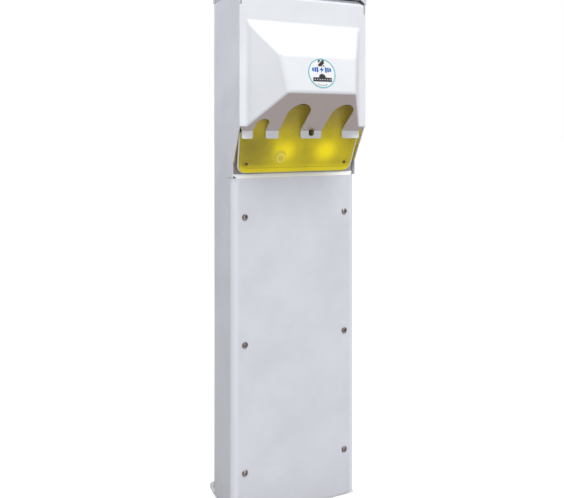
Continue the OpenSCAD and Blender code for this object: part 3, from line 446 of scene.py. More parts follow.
def coated(slot, color=None, roughness=0.42, grain=900.0, relief=0.00006, tone=0.05, dust=0.35,
           coat=0.0, reach=0.18, painted_bend_highlight=0.0):
    """Paint or moulded plastic: grain, slow tone changes, specks and dust near the ground.

    The last argument makes surfaces that lie between the X and Y directions, as upright bends do, that share
    lighter: a painted highlight on the bends.
    """
    made, graph, sockets = new_material(slot)
    base = color or recorded_color(slot)
    looks = use(graph, GRAIN, Scale=grain)
    dirt = use(graph, DUST, Reach=reach)["Mask"]
    toned = graph.blend(looks["Cloud"], shade(base, 1.0 - tone), shade(base, 1.0 + tone * 0.4))
    specked = graph.blend(graph.math("MULTIPLY", looks["Specks"], tone * 1.2), toned, shade(base, 0.72))
    dirty = graph.blend(graph.math("MULTIPLY", dirt, dust), specked, GROUND_DUST)
    # Painted highlight: upright bends are made lighter in colour
    if painted_bend_highlight:
        facing = graph.facing()
        across = graph.math("ABSOLUTE", graph.math("MULTIPLY", facing["X"], facing["Y"]))
        bend_highlight_mask = graph.spread(across, 0.0, 0.45)
        dirty = graph.blend(bend_highlight_mask, dirty, shade(base, 1.0 + painted_bend_highlight))
    graph.feed(sockets["Base Color"], dirty)
    rough = graph.spread(looks["Cloud"], 0.0, 1.0, roughness - 0.05, roughness + 0.07)
    dull = graph.math("MULTIPLY", dirt, 0.25)
    graph.feed(sockets["Roughness"], graph.math("ADD", rough, dull, clamp=True))
    sockets["IOR"].default_value = PLASTIC_IOR
    sockets["Coat Weight"].default_value = coat
    bump(graph, sockets, looks["Height"], relief)
    return made


def metal(slot, roughness=0.32, scale=1400.0, dull=0.25):
    """Plain or plated metal with drawn lines and dull spots."""
    made, graph, sockets = new_material(slot)
    base = recorded_color(slot)
    looks = use(graph, BRUSHED, Scale=scale)
    color = graph.blend(graph.math("MULTIPLY", looks["Dull"], dull), base, shade(base, 0.55))
    graph.feed(sockets["Base Color"], color)
    sockets["Metallic"].default_value = 1.0
    rough = graph.spread(looks["Lines"], 0.3, 0.7, roughness - 0.08, roughness + 0.12)
    graph.feed(sockets["Roughness"], rough)
    bump(graph, sockets, looks["Lines"], 0.00003, 0.3)
    return made


def dark_metal(name, tint, roughness=0.42):
    """Weathered metal: the same drawn lines under a dark, rough film."""
    made, graph, sockets = new_material(name)
    looks = use(graph, BRUSHED, Scale=900.0)
    graph.feed(sockets["Base Color"], graph.blend(looks["Dull"], shade(tint, 1.0), shade(tint, 0.5)))
    sockets["Metallic"].default_value = 0.85
    graph.feed(sockets["Roughness"], graph.spread(looks["Lines"], 0.3, 0.7, roughness, roughness + 0.2))
    bump(graph, sockets, looks["Lines"], 0.00003, 0.3)
    return made


# The lens's colours, as linear light
LENS_SHADED_TOP, LENS_BODY = (0.40, 0.295, 0.075, 1.0), (0.52, 0.425, 0.010, 1.0)
LENS_PATCH, LENS_LEFT = (0.30, 0.25, 0.018, 1.0), (0.27, 0.215, 0.022, 1.0)
LENS_FOOT, LENS_LINE = (0.80, 0.66, 0.010, 1.0), (0.20, 0.155, 0.012, 1.0)
LENS_GRIME = (0.07, 0.055, 0.02, 1.0)
SENSOR_BALL, SENSOR_RING = (0.60, 0.50, 0.10, 1.0), (0.90, 0.82, 0.30, 1.0)
LENS_UNLIT, LENS_LIT = (0.085, 0.068, 0.010, 1.0), (0.64, 0.52, 0.004, 1.0)

GLOW_XS = (-31.0, 56.0)
DULL_X, DULL_Z = -84.0, 672.0
BORDER_UP = 8.7
# Grime on the lens: X and Z in millimetres, and its reach in metres
GRIME_SPOTS = ((-101.0, 648.0, 0.011), (-94.0, 652.0, 0.008), (101.0, 649.0, 0.008))


def distance(graph, parts, x, z, stretch=1.0):
    """Distance from a point as seen from the front, in metres. A stretch above 1 flattens its rings in Z."""
    dx = graph.math("SUBTRACT", parts["X"], x * MM)
    dz = graph.math("MULTIPLY", graph.math("SUBTRACT", parts["Z"], z * MM), stretch)
    square = graph.math("ADD", graph.math("MULTIPLY", dx, dx), graph.math("MULTIPLY", dz, dz))
    return graph.math("SQRT", square)


def stain(graph, share, mask, under, color):
    """Lays a colour over another one where the mask says, at most by the share."""
    return graph.blend(graph.math("MULTIPLY", mask, share), under, color)


def lens_tone(graph, spot, parts):
    """The lens's colour: darker and paler above, painted shade of its upper part inside the hood; brighter
    along its foot, with patches, a border line and grime.
    """
    cloud = graph.noise(spot, 26.0, 3.0, 0.55)
    streak = graph.noise(spot, 11.0, 4.0, 0.6)
    # Painted shade: the upper part, inside the hood, is made darker and duller
    toned = graph.blend(graph.spread(parts["Z"], 0.752, 0.690), LENS_SHADED_TOP, LENS_BODY)
    patchy = graph.math("MULTIPLY", graph.spread(cloud, 0.35, 0.7), graph.spread(streak, 0.3, 0.65))
    toned = graph.blend(patchy, toned, LENS_PATCH)
    left = graph.spread(distance(graph, parts, DULL_X, DULL_Z, 1.1), 0.058, 0.012)
    toned = stain(graph, 0.75, left, toned, LENS_LEFT)
    toned = stain(graph, 0.85, graph.spread(parts["Z"], 0.650, 0.636), toned, LENS_FOOT)
    line = graph.math("ABSOLUTE", graph.math("SUBTRACT", parts["Z"], (LENS_LOW + BORDER_UP) * MM))
    inward = graph.math("ABSOLUTE", parts["X"])
    border = graph.math("MULTIPLY", graph.spread(line, 0.0008, 0.0003), graph.spread(inward, 0.104, 0.098))
    toned = stain(graph, 0.5, border, toned, LENS_LINE)
    uneven = graph.spread(cloud, 0.3, 0.6)
    for x, z, size in GRIME_SPOTS:
        near = graph.spread(distance(graph, parts, x, z, 1.3), size, size * 0.2)
        toned = stain(graph, 0.55, graph.math("MULTIPLY", near, uneven), toned, LENS_GRIME)
    return toned


def lamp_glow(graph, parts):
    """Two painted round glows in front of the lamps, each a bright core in a wide haze."""
    glow_z = middle("lamps")[2] - 5
    glows = []
    for x in GLOW_XS:
        near = distance(graph, parts, x, glow_z, 1.15)
        wide = graph.math("MULTIPLY", graph.spread(near, 0.062, 0.0), 0.45)
        core = graph.math("MULTIPLY", graph.spread(near, 0.032, 0.006), 0.55)
        glows.append(graph.math("ADD", wide, core))
    return graph.math("MAXIMUM", *glows)


def sensor_marks(graph, parts):
    """Masks for the light sensor's dome, as it shows through the lens, and for the ring of light on it."""
    x, _, z = middle("photocell")
    ball = graph.spread(distance(graph, parts, x, z + 8.0), 0.0125, 0.0105)
    near = distance(graph, parts, x + 1.5, z + 4.5)
    ring = graph.math("MULTIPLY", graph.spread(near, 0.0058, 0.0068), graph.spread(near, 0.0084, 0.0074))
    return ball, ring


def lens_material(slot):
    """Yellow polycarbonate with a painted glow in place of the lamps' light behind it, and the light sensor's
    pale dome against it.
    """
    made, graph, sockets = new_material(slot)
    spot = graph.node("ShaderNodeTexCoord").outputs["Object"]
    parts = graph.node("ShaderNodeSeparateXYZ", {"Vector": spot}).outputs
    ball, ring = sensor_marks(graph, parts)
    toned = stain(graph, 0.5, ball, lens_tone(graph, spot, parts), SENSOR_BALL)
    graph.feed(sockets["Base Color"], stain(graph, 0.75, ring, toned, SENSOR_RING))
    # Painted glow, dimmed where the dome sits as a painted shadow of the dome
    past_ball = graph.math("SUBTRACT", 1.0, graph.math("MULTIPLY", ball, 0.55))
    glow = graph.math("MULTIPLY", lamp_glow(graph, parts), past_ball)
    graph.feed(sockets["Emission Color"], graph.blend(glow, LENS_UNLIT, LENS_LIT))
    sockets["Emission Strength"].default_value = 0.8
    looks = use(graph, GRAIN, Scale=420.0)
    graph.feed(sockets["Roughness"], graph.spread(looks["Cloud"], 0.0, 1.0, 0.22, 0.34))
    sockets["Specular IOR Level"].default_value = 0.22
    bump(graph, sockets, looks["Height"], 0.00004, 0.25)
    return made


def hood_material(slot):
    """White formed acrylic: very smooth, with painted shade and a warm painted reflection of the lens's
    yellow light on the facets that look down.
    """
    made, graph, sockets = new_material(slot)
    base = recorded_color(slot)
    looks = use(graph, GRAIN, Scale=260.0, Cloud_Scale=14.0)
    toned = graph.blend(looks["Cloud"], shade(base, 0.97), shade(base, 1.0))
    # Painted shade and warm painted reflection: facets that look down are made darker and warmer
    under = graph.spread(graph.facing()["Z"], -0.35, -0.7)
    graph.feed(sockets["Base Color"], graph.blend(under, toned, (0.47, 0.405, 0.395, 1.0)))
    graph.feed(sockets["Roughness"], graph.spread(looks["Cloud"], 0.0, 1.0, 0.28, 0.38))
    sockets["Coat Weight"].default_value = 0.15
    bump(graph, sockets, looks["Height"], 0.00004, 0.2)
    return made


SPECIAL = {"lens_yellow": lens_material, "hood_white": hood_material}
# Roughness, grain scale and share of dull spots
METALS = {"zinc_steel": (0.42, 900.0, 0.5), "stainless": (0.26, 1800.0, 0.2), "brass": (0.30, 1200.0, 0.35)}
COATS = {
    "white_paint": {"color": (0.675, 0.69, 0.755, 1.0), "roughness": 0.46, "grain": 700.0, "relief": 0.00008,
                    "tone": 0.06, "dust": 0.25, "reach": 0.09, "painted_bend_highlight": 0.13},
    "tray_white": {"roughness": 0.40, "dust": 0.1},
    "black_plastic": {"roughness": 0.48, "grain": 1200.0, "tone": 0.15},
    "black_rubber": {"roughness": 0.75, "grain": 1500.0, "relief": 0.00012, "tone": 0.2},
    "badge_vinyl": {"color": (0.84, 0.85, 0.87, 1.0), "roughness": 0.25, "coat": 0.4, "tone": 0.01,
                    "dust": 0.0},
    "lamp_cover": {"roughness": 0.5},
    "sensor_dome": {"roughness": 0.22, "coat": 0.3},
    "grey_panel": {"roughness": 0.5, "grain": 1000.0},
    "socket_yellow": {"roughness": 0.34, "grain": 800.0, "tone": 0.08, "coat": 0.1},
    "breaker_grey": {"roughness": 0.52, "grain": 1300.0, "tone": 0.12},
    "toggle_black": {"roughness": 0.38, "tone": 0.1},
    "button_blue": {"roughness": 0.3, "coat": 0.3},
    "terminal_cream": {"roughness": 0.45},
    "wire_black": {"roughness": 0.4, "tone": 0.15},
    "wire_red": {"roughness": 0.4, "tone": 0.15},
    "wire_white": {"roughness": 0.4},
    "wire_green": {"roughness": 0.4, "tone": 0.15},
}
MADE = {}


def material_of(slot):
    """The material of one of the record's slots, made once."""
    if slot in MADE:
        return MADE[slot]
    if slot in SPECIAL:
        made = SPECIAL[slot](slot)
    elif slot in METALS:
        roughness, scale, dull = METALS[slot]
        made = metal(slot, roughness, scale, dull)
    else:
        made = coated(slot, **COATS[slot])
    MADE[slot] = made
    return made


# ---- The hood door ----

def hood_half(out):
    """Half of the hood's width where it stands out that far from the door's face."""
    return HOOD_ROOT - out * SIDE_DRAFT


def hood_sheet():
    """The door's outer skin: a flat frame, the five facets of the hood, the set-back lip and the top band."""
    sheet = Sheet()
    y, z_low, z_top = DOOR_FACE, DOOR_LOW, DOOR_LOW + HOOD_UP
    high = (y - FOLD_HIGH_OUT, z_low + FOLD_HIGH_UP)
    low = (HOOD_FRONT, z_low + FOLD_LOW_UP)
    half_high, half_low = hood_half(FOLD_HIGH_OUT), hood_half(FOLD_LOW_OUT)
    corner = HALF_W - 0.6
    for s in (-1, 1):
        root_low, root_top = (s * HOOD_ROOT, y, z_low), (s * HOOD_ROOT, y, z_top)
        sheet.face((s * HALF_W, y, z_low), (s * corner, y, z_low), root_low, root_top, (s * HALF_W, y, z_top))
        sheet.face(root_low, (s * half_low, *low), (s * half_high, *high), root_top)
    sheet.face((-HALF_W, y, z_top), (-HOOD_ROOT, y, z_top), (HOOD_ROOT, y, z_top), (HALF_W, y, z_top),
               (HALF_W, y, FULL_TOP), (NARROW, y, FULL_TOP), (-NARROW, y, FULL_TOP), (-HALF_W, y, FULL_TOP))
    sheet.face((-NARROW, y, FULL_TOP), (NARROW, y, FULL_TOP), (NARROW, y, DOOR_TOP), (-NARROW, y, DOOR_TOP))
    back = y + BAND_TOP - DOOR_TOP
    sheet.face((-NARROW, y, DOOR_TOP), (NARROW, y, DOOR_TOP), (BAND_HALF, back, BAND_TOP),
               (-BAND_HALF, back, BAND_TOP))
    sheet.face((-HOOD_ROOT, y, z_top), (HOOD_ROOT, y, z_top), (half_high, *high), (-half_high, *high))
    sheet.face((-half_high, *high), (half_high, *high), (half_low, *low), (-half_low, *low))
    sheet.face((-half_low, *low), (half_low, *low), (HOOD_ROOT, y, z_low), (-HOOD_ROOT, y, z_low))
    sheet.face((-corner, y, z_low), (-HOOD_ROOT, y, z_low), (HOOD_ROOT, y, z_low), (corner, y, z_low),
               (LIP_HALF, LIP_FACE, LIP_TOP), (-LIP_HALF, LIP_FACE, LIP_TOP))
    r = LIP_CORNER
    right = [(x, LIP_FACE, z) for x, z in arc(LIP_HALF - r, LIP_LOW + r, r, 0, -90)]
    left = [(x, LIP_FACE, z) for x, z in arc(-LIP_HALF + r, LIP_LOW + r, r, -90, -180)]
    sheet.face((-LIP_HALF, LIP_FACE, LIP_TOP), (LIP_HALF, LIP_FACE, LIP_TOP), *right, *left)
    sheet.fold((-NARROW, y, DOOR_TOP), (NARROW, y, DOOR_TOP), 0.25)
    sheet.fold((-HOOD_ROOT, y, z_top), (HOOD_ROOT, y, z_top), 0.38)
    sheet.fold((-half_high, *high), (half_high, *high), 0.75)
    sheet.fold((-half_low, *low), (half_low, *low), 0.62)
    sheet.fold((-LIP_HALF, LIP_FACE, LIP_TOP), (LIP_HALF, LIP_FACE, LIP_TOP), 0.3)
    for s in (-1, 1):
        root_low, root_top = (s * HOOD_ROOT, y, z_low), (s * HOOD_ROOT, y, z_top)
        sheet.fold(root_low, root_top, 0.5)
        sheet.fold(root_low, (s * half_low, *low), 0.55)
        sheet.fold((s * half_low, *low), (s * half_high, *high), 0.8)
        sheet.fold((s * half_high, *high), root_top, 0.75)
        sheet.fold(root_low, (s * corner, y, z_low), 0.22)
    return sheet.mesh("hood", Vector((0, -1, 0)))


def lip_corner(x, side, r=3.2):
    """What rounding takes off one lower corner of the lip, beside a slot."""
    away = 180 if side > 0 else 0
    rounding = arc(x + side * r, LIP_LOW + r, r, away, away + side * 90)
    in_slot = x - side * 0.4
    outline = [(in_slot, LIP_LOW + r), *rounding, (x + side * r, LIP_LOW - 1), (in_slot, LIP_LOW - 1)]
    return prism("lip_corner", outline, LIP_FACE - 4, LIP_FACE + 6, "Y")


def slot_cutters():
    """What is cut from the hood: three cable slots with round ends, and the padlock's slot in the lip."""
    made = []
    for x, width, reach in SLOTS:
        r = width / 2
        end = DOOR_FACE - reach
        outline = [*arc(x, end + r, r, 180, 360, 24), (x + r, LIP_FACE + 10), (x - r, LIP_FACE + 10)]
        made.append(prism("slot", outline, LIP_LOW - 2, DOOR_LOW + FOLD_LOW_UP - 4, "Z"))
        made += [lip_corner(x - r, -1), lip_corner(x + r, 1)]
    r, low, high = LOCK_HALF, LIP_LOW + 4, LIP_TOP + 5
    outline = [*arc(LOCK_X, high - r, r, 0, 180, 12), *arc(LOCK_X, low + r, r, 180, 360, 12)]
    made.append(prism("lock_slot", outline, DOOR_FACE - 8, LIP_FACE + 10, "Y"))
    return made


def make_hood():
    hood = thing("hood_shell", hood_sheet())
    bend(hood, 8.0, 5)
    thicken(hood, DOOR_T)
    bake(hood)
    cut(hood, slot_cutters())
    edge_break(hood, 0.45, 50.0)
    return place(hood, "door", "hood_white", "hood_door")


# ---- Shell, cap and access panel ----

def shell_sheet():
    """Two side walls and the back, bent from one sheet, with a narrow return in front on each side."""
    sheet = Sheet()
    edge = DOOR_FACE + DOOR_T + 0.3
    seam = PANEL_BACK + 0.25
    joint = PANEL_TOP + 0.8
    return_low, return_top = DOOR_LOW + 8, FULL_TOP - 2
    tooth = FULL_TOP + 0.8
    for s in (-1, 1):
        x = s * HALF_W
        sheet.face((x, seam, SHELL_LOW), (x, seam, joint), (x, 0, joint), (x, 0, SIDE_FOOT),
                   (x, edge, DOOR_LOW - 1), (x, edge, return_low), (x, edge, return_top), (x, edge, tooth),
                   (x, DOOR_FACE, tooth),
                   (x, DOOR_FACE, EAVES), (x, DOOR_FACE + 1, EAVES), (x, DOOR_FACE + 1, SHELL_TOP),
                   (x, BACK, SHELL_TOP), (x, BACK, SHELL_LOW))
        inner = s * (HALF_W - SHEET - RETURN_W)
        sheet.face((x, edge, return_low), (x, edge, return_top), (inner, edge, return_top),
                   (inner, edge, return_low))
        sheet.fold((x, edge, return_low), (x, edge, return_top), 0.25)
    sheet.face((-HALF_W, BACK, SHELL_LOW), (HALF_W, BACK, SHELL_LOW), (HALF_W, BACK, SHELL_TOP),
               (-HALF_W, BACK, SHELL_TOP))
    for s in (-1, 1):
        sheet.fold((s * HALF_W, BACK, SHELL_LOW), (s * HALF_W, BACK, SHELL_TOP), 1.0)
    return sheet.mesh("shell", Vector((0, 1, 0)))


def make_shell():
    shell = thing("shell_sheet", shell_sheet())
    bend(shell, 4.0)
    thicken(shell, SHEET)
    bake(shell)
    edge_break(shell, 0.35)
    return place(shell, "post", "white_paint", "post_shell")


def panel_sheet():
    """The access panel: a face with two round upright bends and a return on each side."""
    sheet = Sheet()
    plan = [(-HALF_W, PANEL_BACK), *arc(-HALF_W + PANEL_BEND, PANEL_BEND, PANEL_BEND, 180, 270, 12),
            *arc(HALF_W - PANEL_BEND, PANEL_BEND, PANEL_BEND, 270, 360, 12), (HALF_W, PANEL_BACK)]
    for a, b in zip(plan, plan[1:]):
        sheet.face((*a, PANEL_LOW), (*b, PANEL_LOW), (*b, PANEL_TOP), (*a, PANEL_TOP))
    return sheet.mesh("panel", Vector((0, -1, 0)))


def ledge_sheet():
    """The sloping ledge along the panel's top, inside the panel's round bends and turned down behind."""
    sheet = Sheet()

    def half(y):
        bend_x = HALF_W - PANEL_BEND + math.sqrt(PANEL_BEND ** 2 - (PANEL_BEND - y) ** 2)
        return min(HALF_W - SHEET - 0.6, bend_x - 0.8)

    low, up = LEDGE_FRONT, 2.4
    profile = [(low, PANEL_TOP - 3.0), (low, PANEL_TOP), (low + up, PANEL_TOP + up * LEDGE_SLOPE),
               (LEDGE_CREST, LEDGE_TOP - 0.3), (9.6, LEDGE_TOP - 0.6), (10.4, LEDGE_TOP - 5)]
    for (ya, za), (yb, zb) in zip(profile, profile[1:]):
        sheet.face((-half(ya), ya, za), (half(ya), ya, za), (half(yb), yb, zb), (-half(yb), yb, zb))
    for y, z in profile[1:-1]:
        sheet.fold((-half(y), y, z), (half(y), y, z), 1.0)
    return sheet.mesh("ledge", Vector((0, -1, 0.5)))


def make_panel():
    panel = thing("panel_sheet", panel_sheet())
    thicken(panel, SHEET)
    bake(panel)
    edge_break(panel, 0.4)
    place(panel, "post", "white_paint", "access_panel")
    ledge = thing("panel_ledge", ledge_sheet())
    bend(ledge, 0.7, 3)
    thicken(ledge, 1.5)
    bake(ledge)
    edge_break(ledge, 0.25, 50.0)
    place(ledge, "post", "white_paint", "access_panel")
    # A brighter, bluer copy of the white paint for the ledge: painted light against the hood's shade and the
    # lens's yellow spill
    ledge.data.materials[0] = coated("ledge_paint", color=(0.93, 0.95, 1.0, 1.0), roughness=0.42, grain=700.0,
                                     relief=0.00008, tone=0.04, dust=0.1)


def cap_sheet():
    """The hipped cap, open below."""
    sheet = Sheet()
    skirt, hip = 12.0, 20.0
    left, right, front, back = -CAP_HALF, CAP_HALF, CAP_FRONT, CAP_BACK
    base = [(left, front), (right, front), (right, back), (left, back)]
    top = [(left + hip, front + hip), (right - hip, front + hip), (right - hip, back - hip),
           (left + hip, back - hip)]
    for i in range(4):
        j = (i + 1) % 4
        sheet.face((*base[i], EAVES), (*base[j], EAVES), (*base[j], EAVES + skirt), (*base[i], EAVES + skirt))
        sheet.face((*base[i], EAVES + skirt), (*base[j], EAVES + skirt), (*top[j], CAP_TOP),
                   (*top[i], CAP_TOP))
    sheet.face(*[(*p, CAP_TOP) for p in top])
    for i in range(4):
        j = (i + 1) % 4
        sheet.fold((*base[i], EAVES), (*base[i], EAVES + skirt), 0.8)
        sheet.fold((*base[i], EAVES + skirt), (*base[j], EAVES + skirt), 0.8)
        sheet.fold((*base[i], EAVES + skirt), (*top[i], CAP_TOP), 0.8)
        sheet.fold((*top[i], CAP_TOP), (*top[j], CAP_TOP), 0.8)
    return sheet.mesh("cap", Vector((0, 0, 1)))


def make_cap():
    """The cap, its turned-in front edge, and a gusset at each end of the door's band."""
    cap = thing("cap_cover", cap_sheet())
    bend(cap, 3.5)
    thicken(cap, CAP_SHEET)
    bake(cap)
    edge_break(cap, 0.3, 50.0)
    place(cap, "post", "white_paint", "top_cap")
    inside = HALF_W - SHEET - 0.8
    front, back = CAP_FRONT + 1.2, -14
    low, high = EAVES + 0.4, EAVES + 1.8
    edge = [(front, low), (back, low), (back, high), (front, high)]
    turned = thing("cap_return", prism("cap_return", edge, -inside, inside, "X"))
    edge_break(turned, 0.3)
    place(turned, "post", "white_paint", "top_cap")
    for s, side in ((-1, "left"), (1, "right")):
        outline = [(s * CAP_HALF, DOOR_TOP + 2), (s * CAP_HALF, EAVES + 1), (s * BAND_HALF, EAVES + 1),
                   (s * BAND_HALF, EAVES - 1)]
        ear = thing(f"cap_gusset_{side}", prism("gusset", outline, CAP_FRONT, CAP_FRONT + 1.4, "Y"))
        edge_break(ear, 0.25)
        place(ear, "post", "white_paint", "top_cap")


# ---- Light box ----

LENS_LOW, LENS_TOP = LENS[0].z / MM, LENS[1].z / MM
LENS_LEAN = 0.37
LENS_DEPTH = 3.2
LENS_CORNER = 15.6
SHOULDER = LIP_TOP - 3
TRAY_LOW, TRAY_WIDE, TRAY_NARROW = HALF_W - 11.4, HALF_W - 7.9, HOOD_ROOT - 9.4


def lens_y(z):
    """Where the leaning face of the lens is at a height."""
    return 4 - (z - LENS_LOW + 0.4) * LENS_LEAN


def lens_outline(inset):
    """Front view of the lens: round lower corners, wide below the lip and narrower inside the hood."""
    r = LENS_CORNER - inset
    x, z = TRAY_LOW - LENS_CORNER, LENS_LOW + LENS_CORNER
    right = arc(x, z, r, -90, 0, 10)
    right += [(TRAY_WIDE - inset, SHOULDER - 12), (TRAY_WIDE - inset, SHOULDER)]
    right += [(TRAY_NARROW - inset, SHOULDER + 9), (TRAY_NARROW - inset, LENS_TOP - inset)]
    return right + [(-x, z) for x, z in reversed(right)]


def lens_mesh():
    """Rings from the back edge round to the face, with a raised border line a little inside the edge."""
    rings = [(0.0, LENS_DEPTH), (0.0, 1.0), (0.3, 0.3), (1.0, 0.0)]
    rings += [(7.6, 0.0), (8.1, -0.55), (9.3, -0.55), (9.8, 0.0)]
    bm = bmesh.new()
    skin(bm, [[bm.verts.new(at(x, lens_y(z) + behind, z)) for x, z in lens_outline(inset)]
              for inset, behind in rings])
    return finish_mesh(bm, "lens")


def make_lens():
    """The lens, with a way through for the padlock staple and for each screw."""
    lens = thing("lens_cover", lens_mesh())
    low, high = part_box("lock_staple")
    outline = box_outline(LOCK_X, LIP_LOW + 10.5, 4.6, 11.6)
    cutters = [prism("staple_way", outline, from_face(low.y), from_face(high.y) + 10, "Y")]
    for s in (-1, 1):
        around = arc(s * LENS_SCREW_X, LENS_SCREW_Z, 1.8, 0, 345, 23)
        cutters.append(prism("screw_way", around, -60, 40, "Y"))
    cut(lens, cutters)
    edge_break(lens, 0.12, 40.0)
    return place(lens, "post", "lens_yellow", "lens")


def glowing(name, color, light):
    """Amber plastic with a painted glow standing in for some of the lamps' light, with slow changes of tone.
    """
    made, graph, sockets = new_material(name)
    looks = use(graph, GRAIN, Scale=420.0, Cloud_Scale=22.0)
    graph.feed(sockets["Base Color"], graph.blend(looks["Cloud"], shade(color, 0.8), color))
    graph.feed(sockets["Emission Color"], graph.blend(looks["Cloud"], shade(light, 0.7), light))
    sockets["Emission Strength"].default_value = 0.8
    sockets["Roughness"].default_value = 0.35
    bump(graph, sockets, looks["Height"], 0.00004, 0.2)
    return made


def make_rim():
    """The light tray's white rim, which shows as a narrow border down both sides of the lens."""
    border = 2.4
    stretch = 1 + border / TRAY_WIDE
    rings = [(stretch, 0.0, LENS_DEPTH), (stretch, 0.0, 1.0), (stretch * 0.998, 0.0, 0.7), (1.0, 0.15, 0.7),
             (1.0, 0.15, LENS_DEPTH)]
    bm = bmesh.new()
    skin(bm, [[bm.verts.new(at(x * wide, lens_y(z) + behind, z)) for x, z in lens_outline(inset)]
              for wide, inset, behind in rings], looped=True)
    rim = thing("light_tray_rim", finish_mesh(bm, "rim"))
    edge_break(rim, 0.1, 50.0)
    place(rim, "post", "tray_white")


def make_seals():
    """Foam round the light box, and glowing amber sheets on the side walls' inner faces, painted light for
    the lamps' yellow light on the walls.
    """
    foam = coated("seal_foam", color=(0.40, 0.36, 0.355, 1.0), roughness=0.85, grain=1600.0, relief=0.0002,
                  tone=0.2)
    amber = glowing("amber_painted_glow", (0.74, 0.60, 0.010, 1.0), (0.30, 0.235, 0.0, 1.0))

    def fit(name, outline, start, end, axis, slot, finish, edge):
        piece = thing(name, prism(name, outline, start, end, axis))
        edge_break(piece, edge)
        place(piece, "post", slot)
        piece.data.materials[0] = finish

    wall = HALF_W - SHEET - 0.6
    low, high, top = LEDGE_TOP - 4, LENS_LOW + LENS_CORNER, DOOR_LOW - 3
    round_corner = arc(TRAY_LOW - LENS_CORNER, high, LENS_CORNER + 0.4, 0, -90, 10)
    outline = [(wall, low), (wall, high), *round_corner]
    outline += [(-x, z) for x, z in reversed(outline)]
    fit("lens_seal", outline, 9.0, 11.5, "Y", "black_rubber", foam, 0.2)
    gap, thick, foot = 8.0, 1.2, 654.0
    front_low, front_high = lens_y(high) + gap, lens_y(top) + gap
    strip = [(front_low, high), (front_high, top), (front_high + thick, top), (front_low + thick, high)]
    shape = [(5.5, foot), (DOOR_FACE + DOOR_T + 6, top - 1), (front_high - 1, top - 1),
             (lens_y(foot) + 4, foot)]
    for s, side in ((-1, "left"), (1, "right")):
        inner = TRAY_WIDE - 0.5
        fit(f"light_box_infill_{side}", strip, s * inner, s * wall, "X", "black_rubber", foam, 0.2)
        inner, outer = wall - 0.9, wall - 0.1
        # Glowing amber sheet: painted yellow light on the wall's inner face
        fit(f"side_painted_glow_{side}", shape, s * inner, s * outer, "X", "lens_yellow", amber, 0.15)


# ---- Screws ----

def screw(name, x, y, z, radius, axis, node, finish=None):
    """A domed head with a washer face and a six-lobed recess, lying against a face."""
    washer, shank = 0.6, 2.0
    dome = radius * 0.42
    sweep = [math.radians(a) for a in range(0, 90, 10)]
    head = [(radius * 0.99 * math.cos(t), washer + dome * math.sin(t)) for t in sweep]
    neck = radius * 0.55
    profile = [(0, -shank), (neck, -shank), (neck, 0.0), (radius, 0.0), *head, (0, washer + dome)]
    made = thing(name, lathe(name, profile))
    turns = [2 * math.pi * k / 48 for k in range(48)]
    reach = [radius * (0.36 + 0.07 * math.cos(6 * t)) for t in turns]
    lobes = [(r * math.cos(t), r * math.sin(t)) for r, t in zip(reach, turns)]
    cut(made, [flat_shapes("recess", [lobes], washer + dome * 0.35, 2.0 + dome)])
    turn = Vector((0, 0, 1)).rotation_difference(axis).to_matrix().to_4x4()
    made.data.transform(Matrix.Translation(at(x, y, z)) @ turn)
    edge_break(made, 0.12, 40.0)
    place(made, "post", "stainless", node)
    if finish:
        made.data.materials[0] = finish


def make_screws():
    """Six screws on the access panel, two on the lens and four on the cap's sides."""
    front = Vector((0, -1, 0))
    lean = Vector((0, -1, -LENS_LEAN)).normalized()
    weathered = dark_metal("weathered_screw", (0.16, 0.12, 0.05))
    dull = dark_metal("dull_screw", (0.30, 0.255, 0.25), 0.18)
    sides = ((-1, "left"), (1, "right"))
    for i in range(3):
        z = PANEL_SCREW_LOW + i * PANEL_SCREW_STEP
        for s, side in sides:
            screw(f"panel_screw_{side}_{i + 1}", s * PANEL_SCREW_X, -0.02, z, PANEL_SCREW_R, front,
                  "panel_screws", dull)
    for s, side in sides:
        y = lens_y(LENS_SCREW_Z) - 0.1
        screw(f"lens_screw_{side}", s * LENS_SCREW_X, y, LENS_SCREW_Z, LENS_SCREW_R, lean,
              "lens_screws", weathered)
        for y, end in ((10, "front"), (BACK - 20, "back")):
            screw(f"cap_screw_{side}_{end}", s * (CAP_HALF + 0.02), y, EAVES + 4.5, CAP_SCREW_R,
                  Vector((s, 0, 0)), "cap_screws")


# ---- Badge ----

def ink(name, color):
    """Printed vinyl: one colour with a little unevenness."""
    made, graph, sockets = new_material(name)
    looks = use(graph, GRAIN, Scale=600.0)
    toned = graph.blend(looks["Cloud"], shade(color, 0.92), shade(color, 1.05))
    graph.feed(sockets["Base Color"], toned)
    graph.feed(sockets["Roughness"], graph.spread(looks["Cloud"], 0.0, 1.0, 0.25, 0.35))
    return made


def badge_signs():
    """The printed signs: a dot grid, a bolt between bars, a plug with a row of lights, and a dashed arc."""
    cells = [(i, j) for i in range(5) for j in range(5) if (2 * i + 3 * j) % 5 != 1]
    grid = [box_outline(-4.6 + 2.3 * i, 13.4 + 2.3 * j, 2.25, 2.25) for i, j in cells]
    bolt = [(2.6, 12.4), (-4.6, 5.4), (-0.6, 5.4), (-2.6, 0.2), (4.6, 7.4), (0.6, 7.4)]
    bars = [box_outline(s * (8.2 + 4.2 * k), 6.3, 3.2, 9.6 - 1.6 * k) for s in (-1, 1) for k in range(3)]
    plug = [(-18, -15), (18, -15), (18, -7.6), (7, -7.6), *arc(0, -7.6, 6.6, 0, 180, 12), (-7, -7.6),
            (-18, -7.6)]
    lights = [arc(-14.4 + 4.8 * k, -11.3, 1.0, 0, 330, 11) for k in range(7)]
    dashes = [arc(0, 0, 22.2, a, a + 5, 3) + arc(0, 0, 20.8, a + 5, a, 3) for a in range(242, 296, 9)]
    return {"grid": (grid, "dark"), "bolt": ([bolt, *bars], "blue"), "plug": ([plug], "dark"),
            "lights": (lights, "white"), "dashes": (dashes, "dark")}


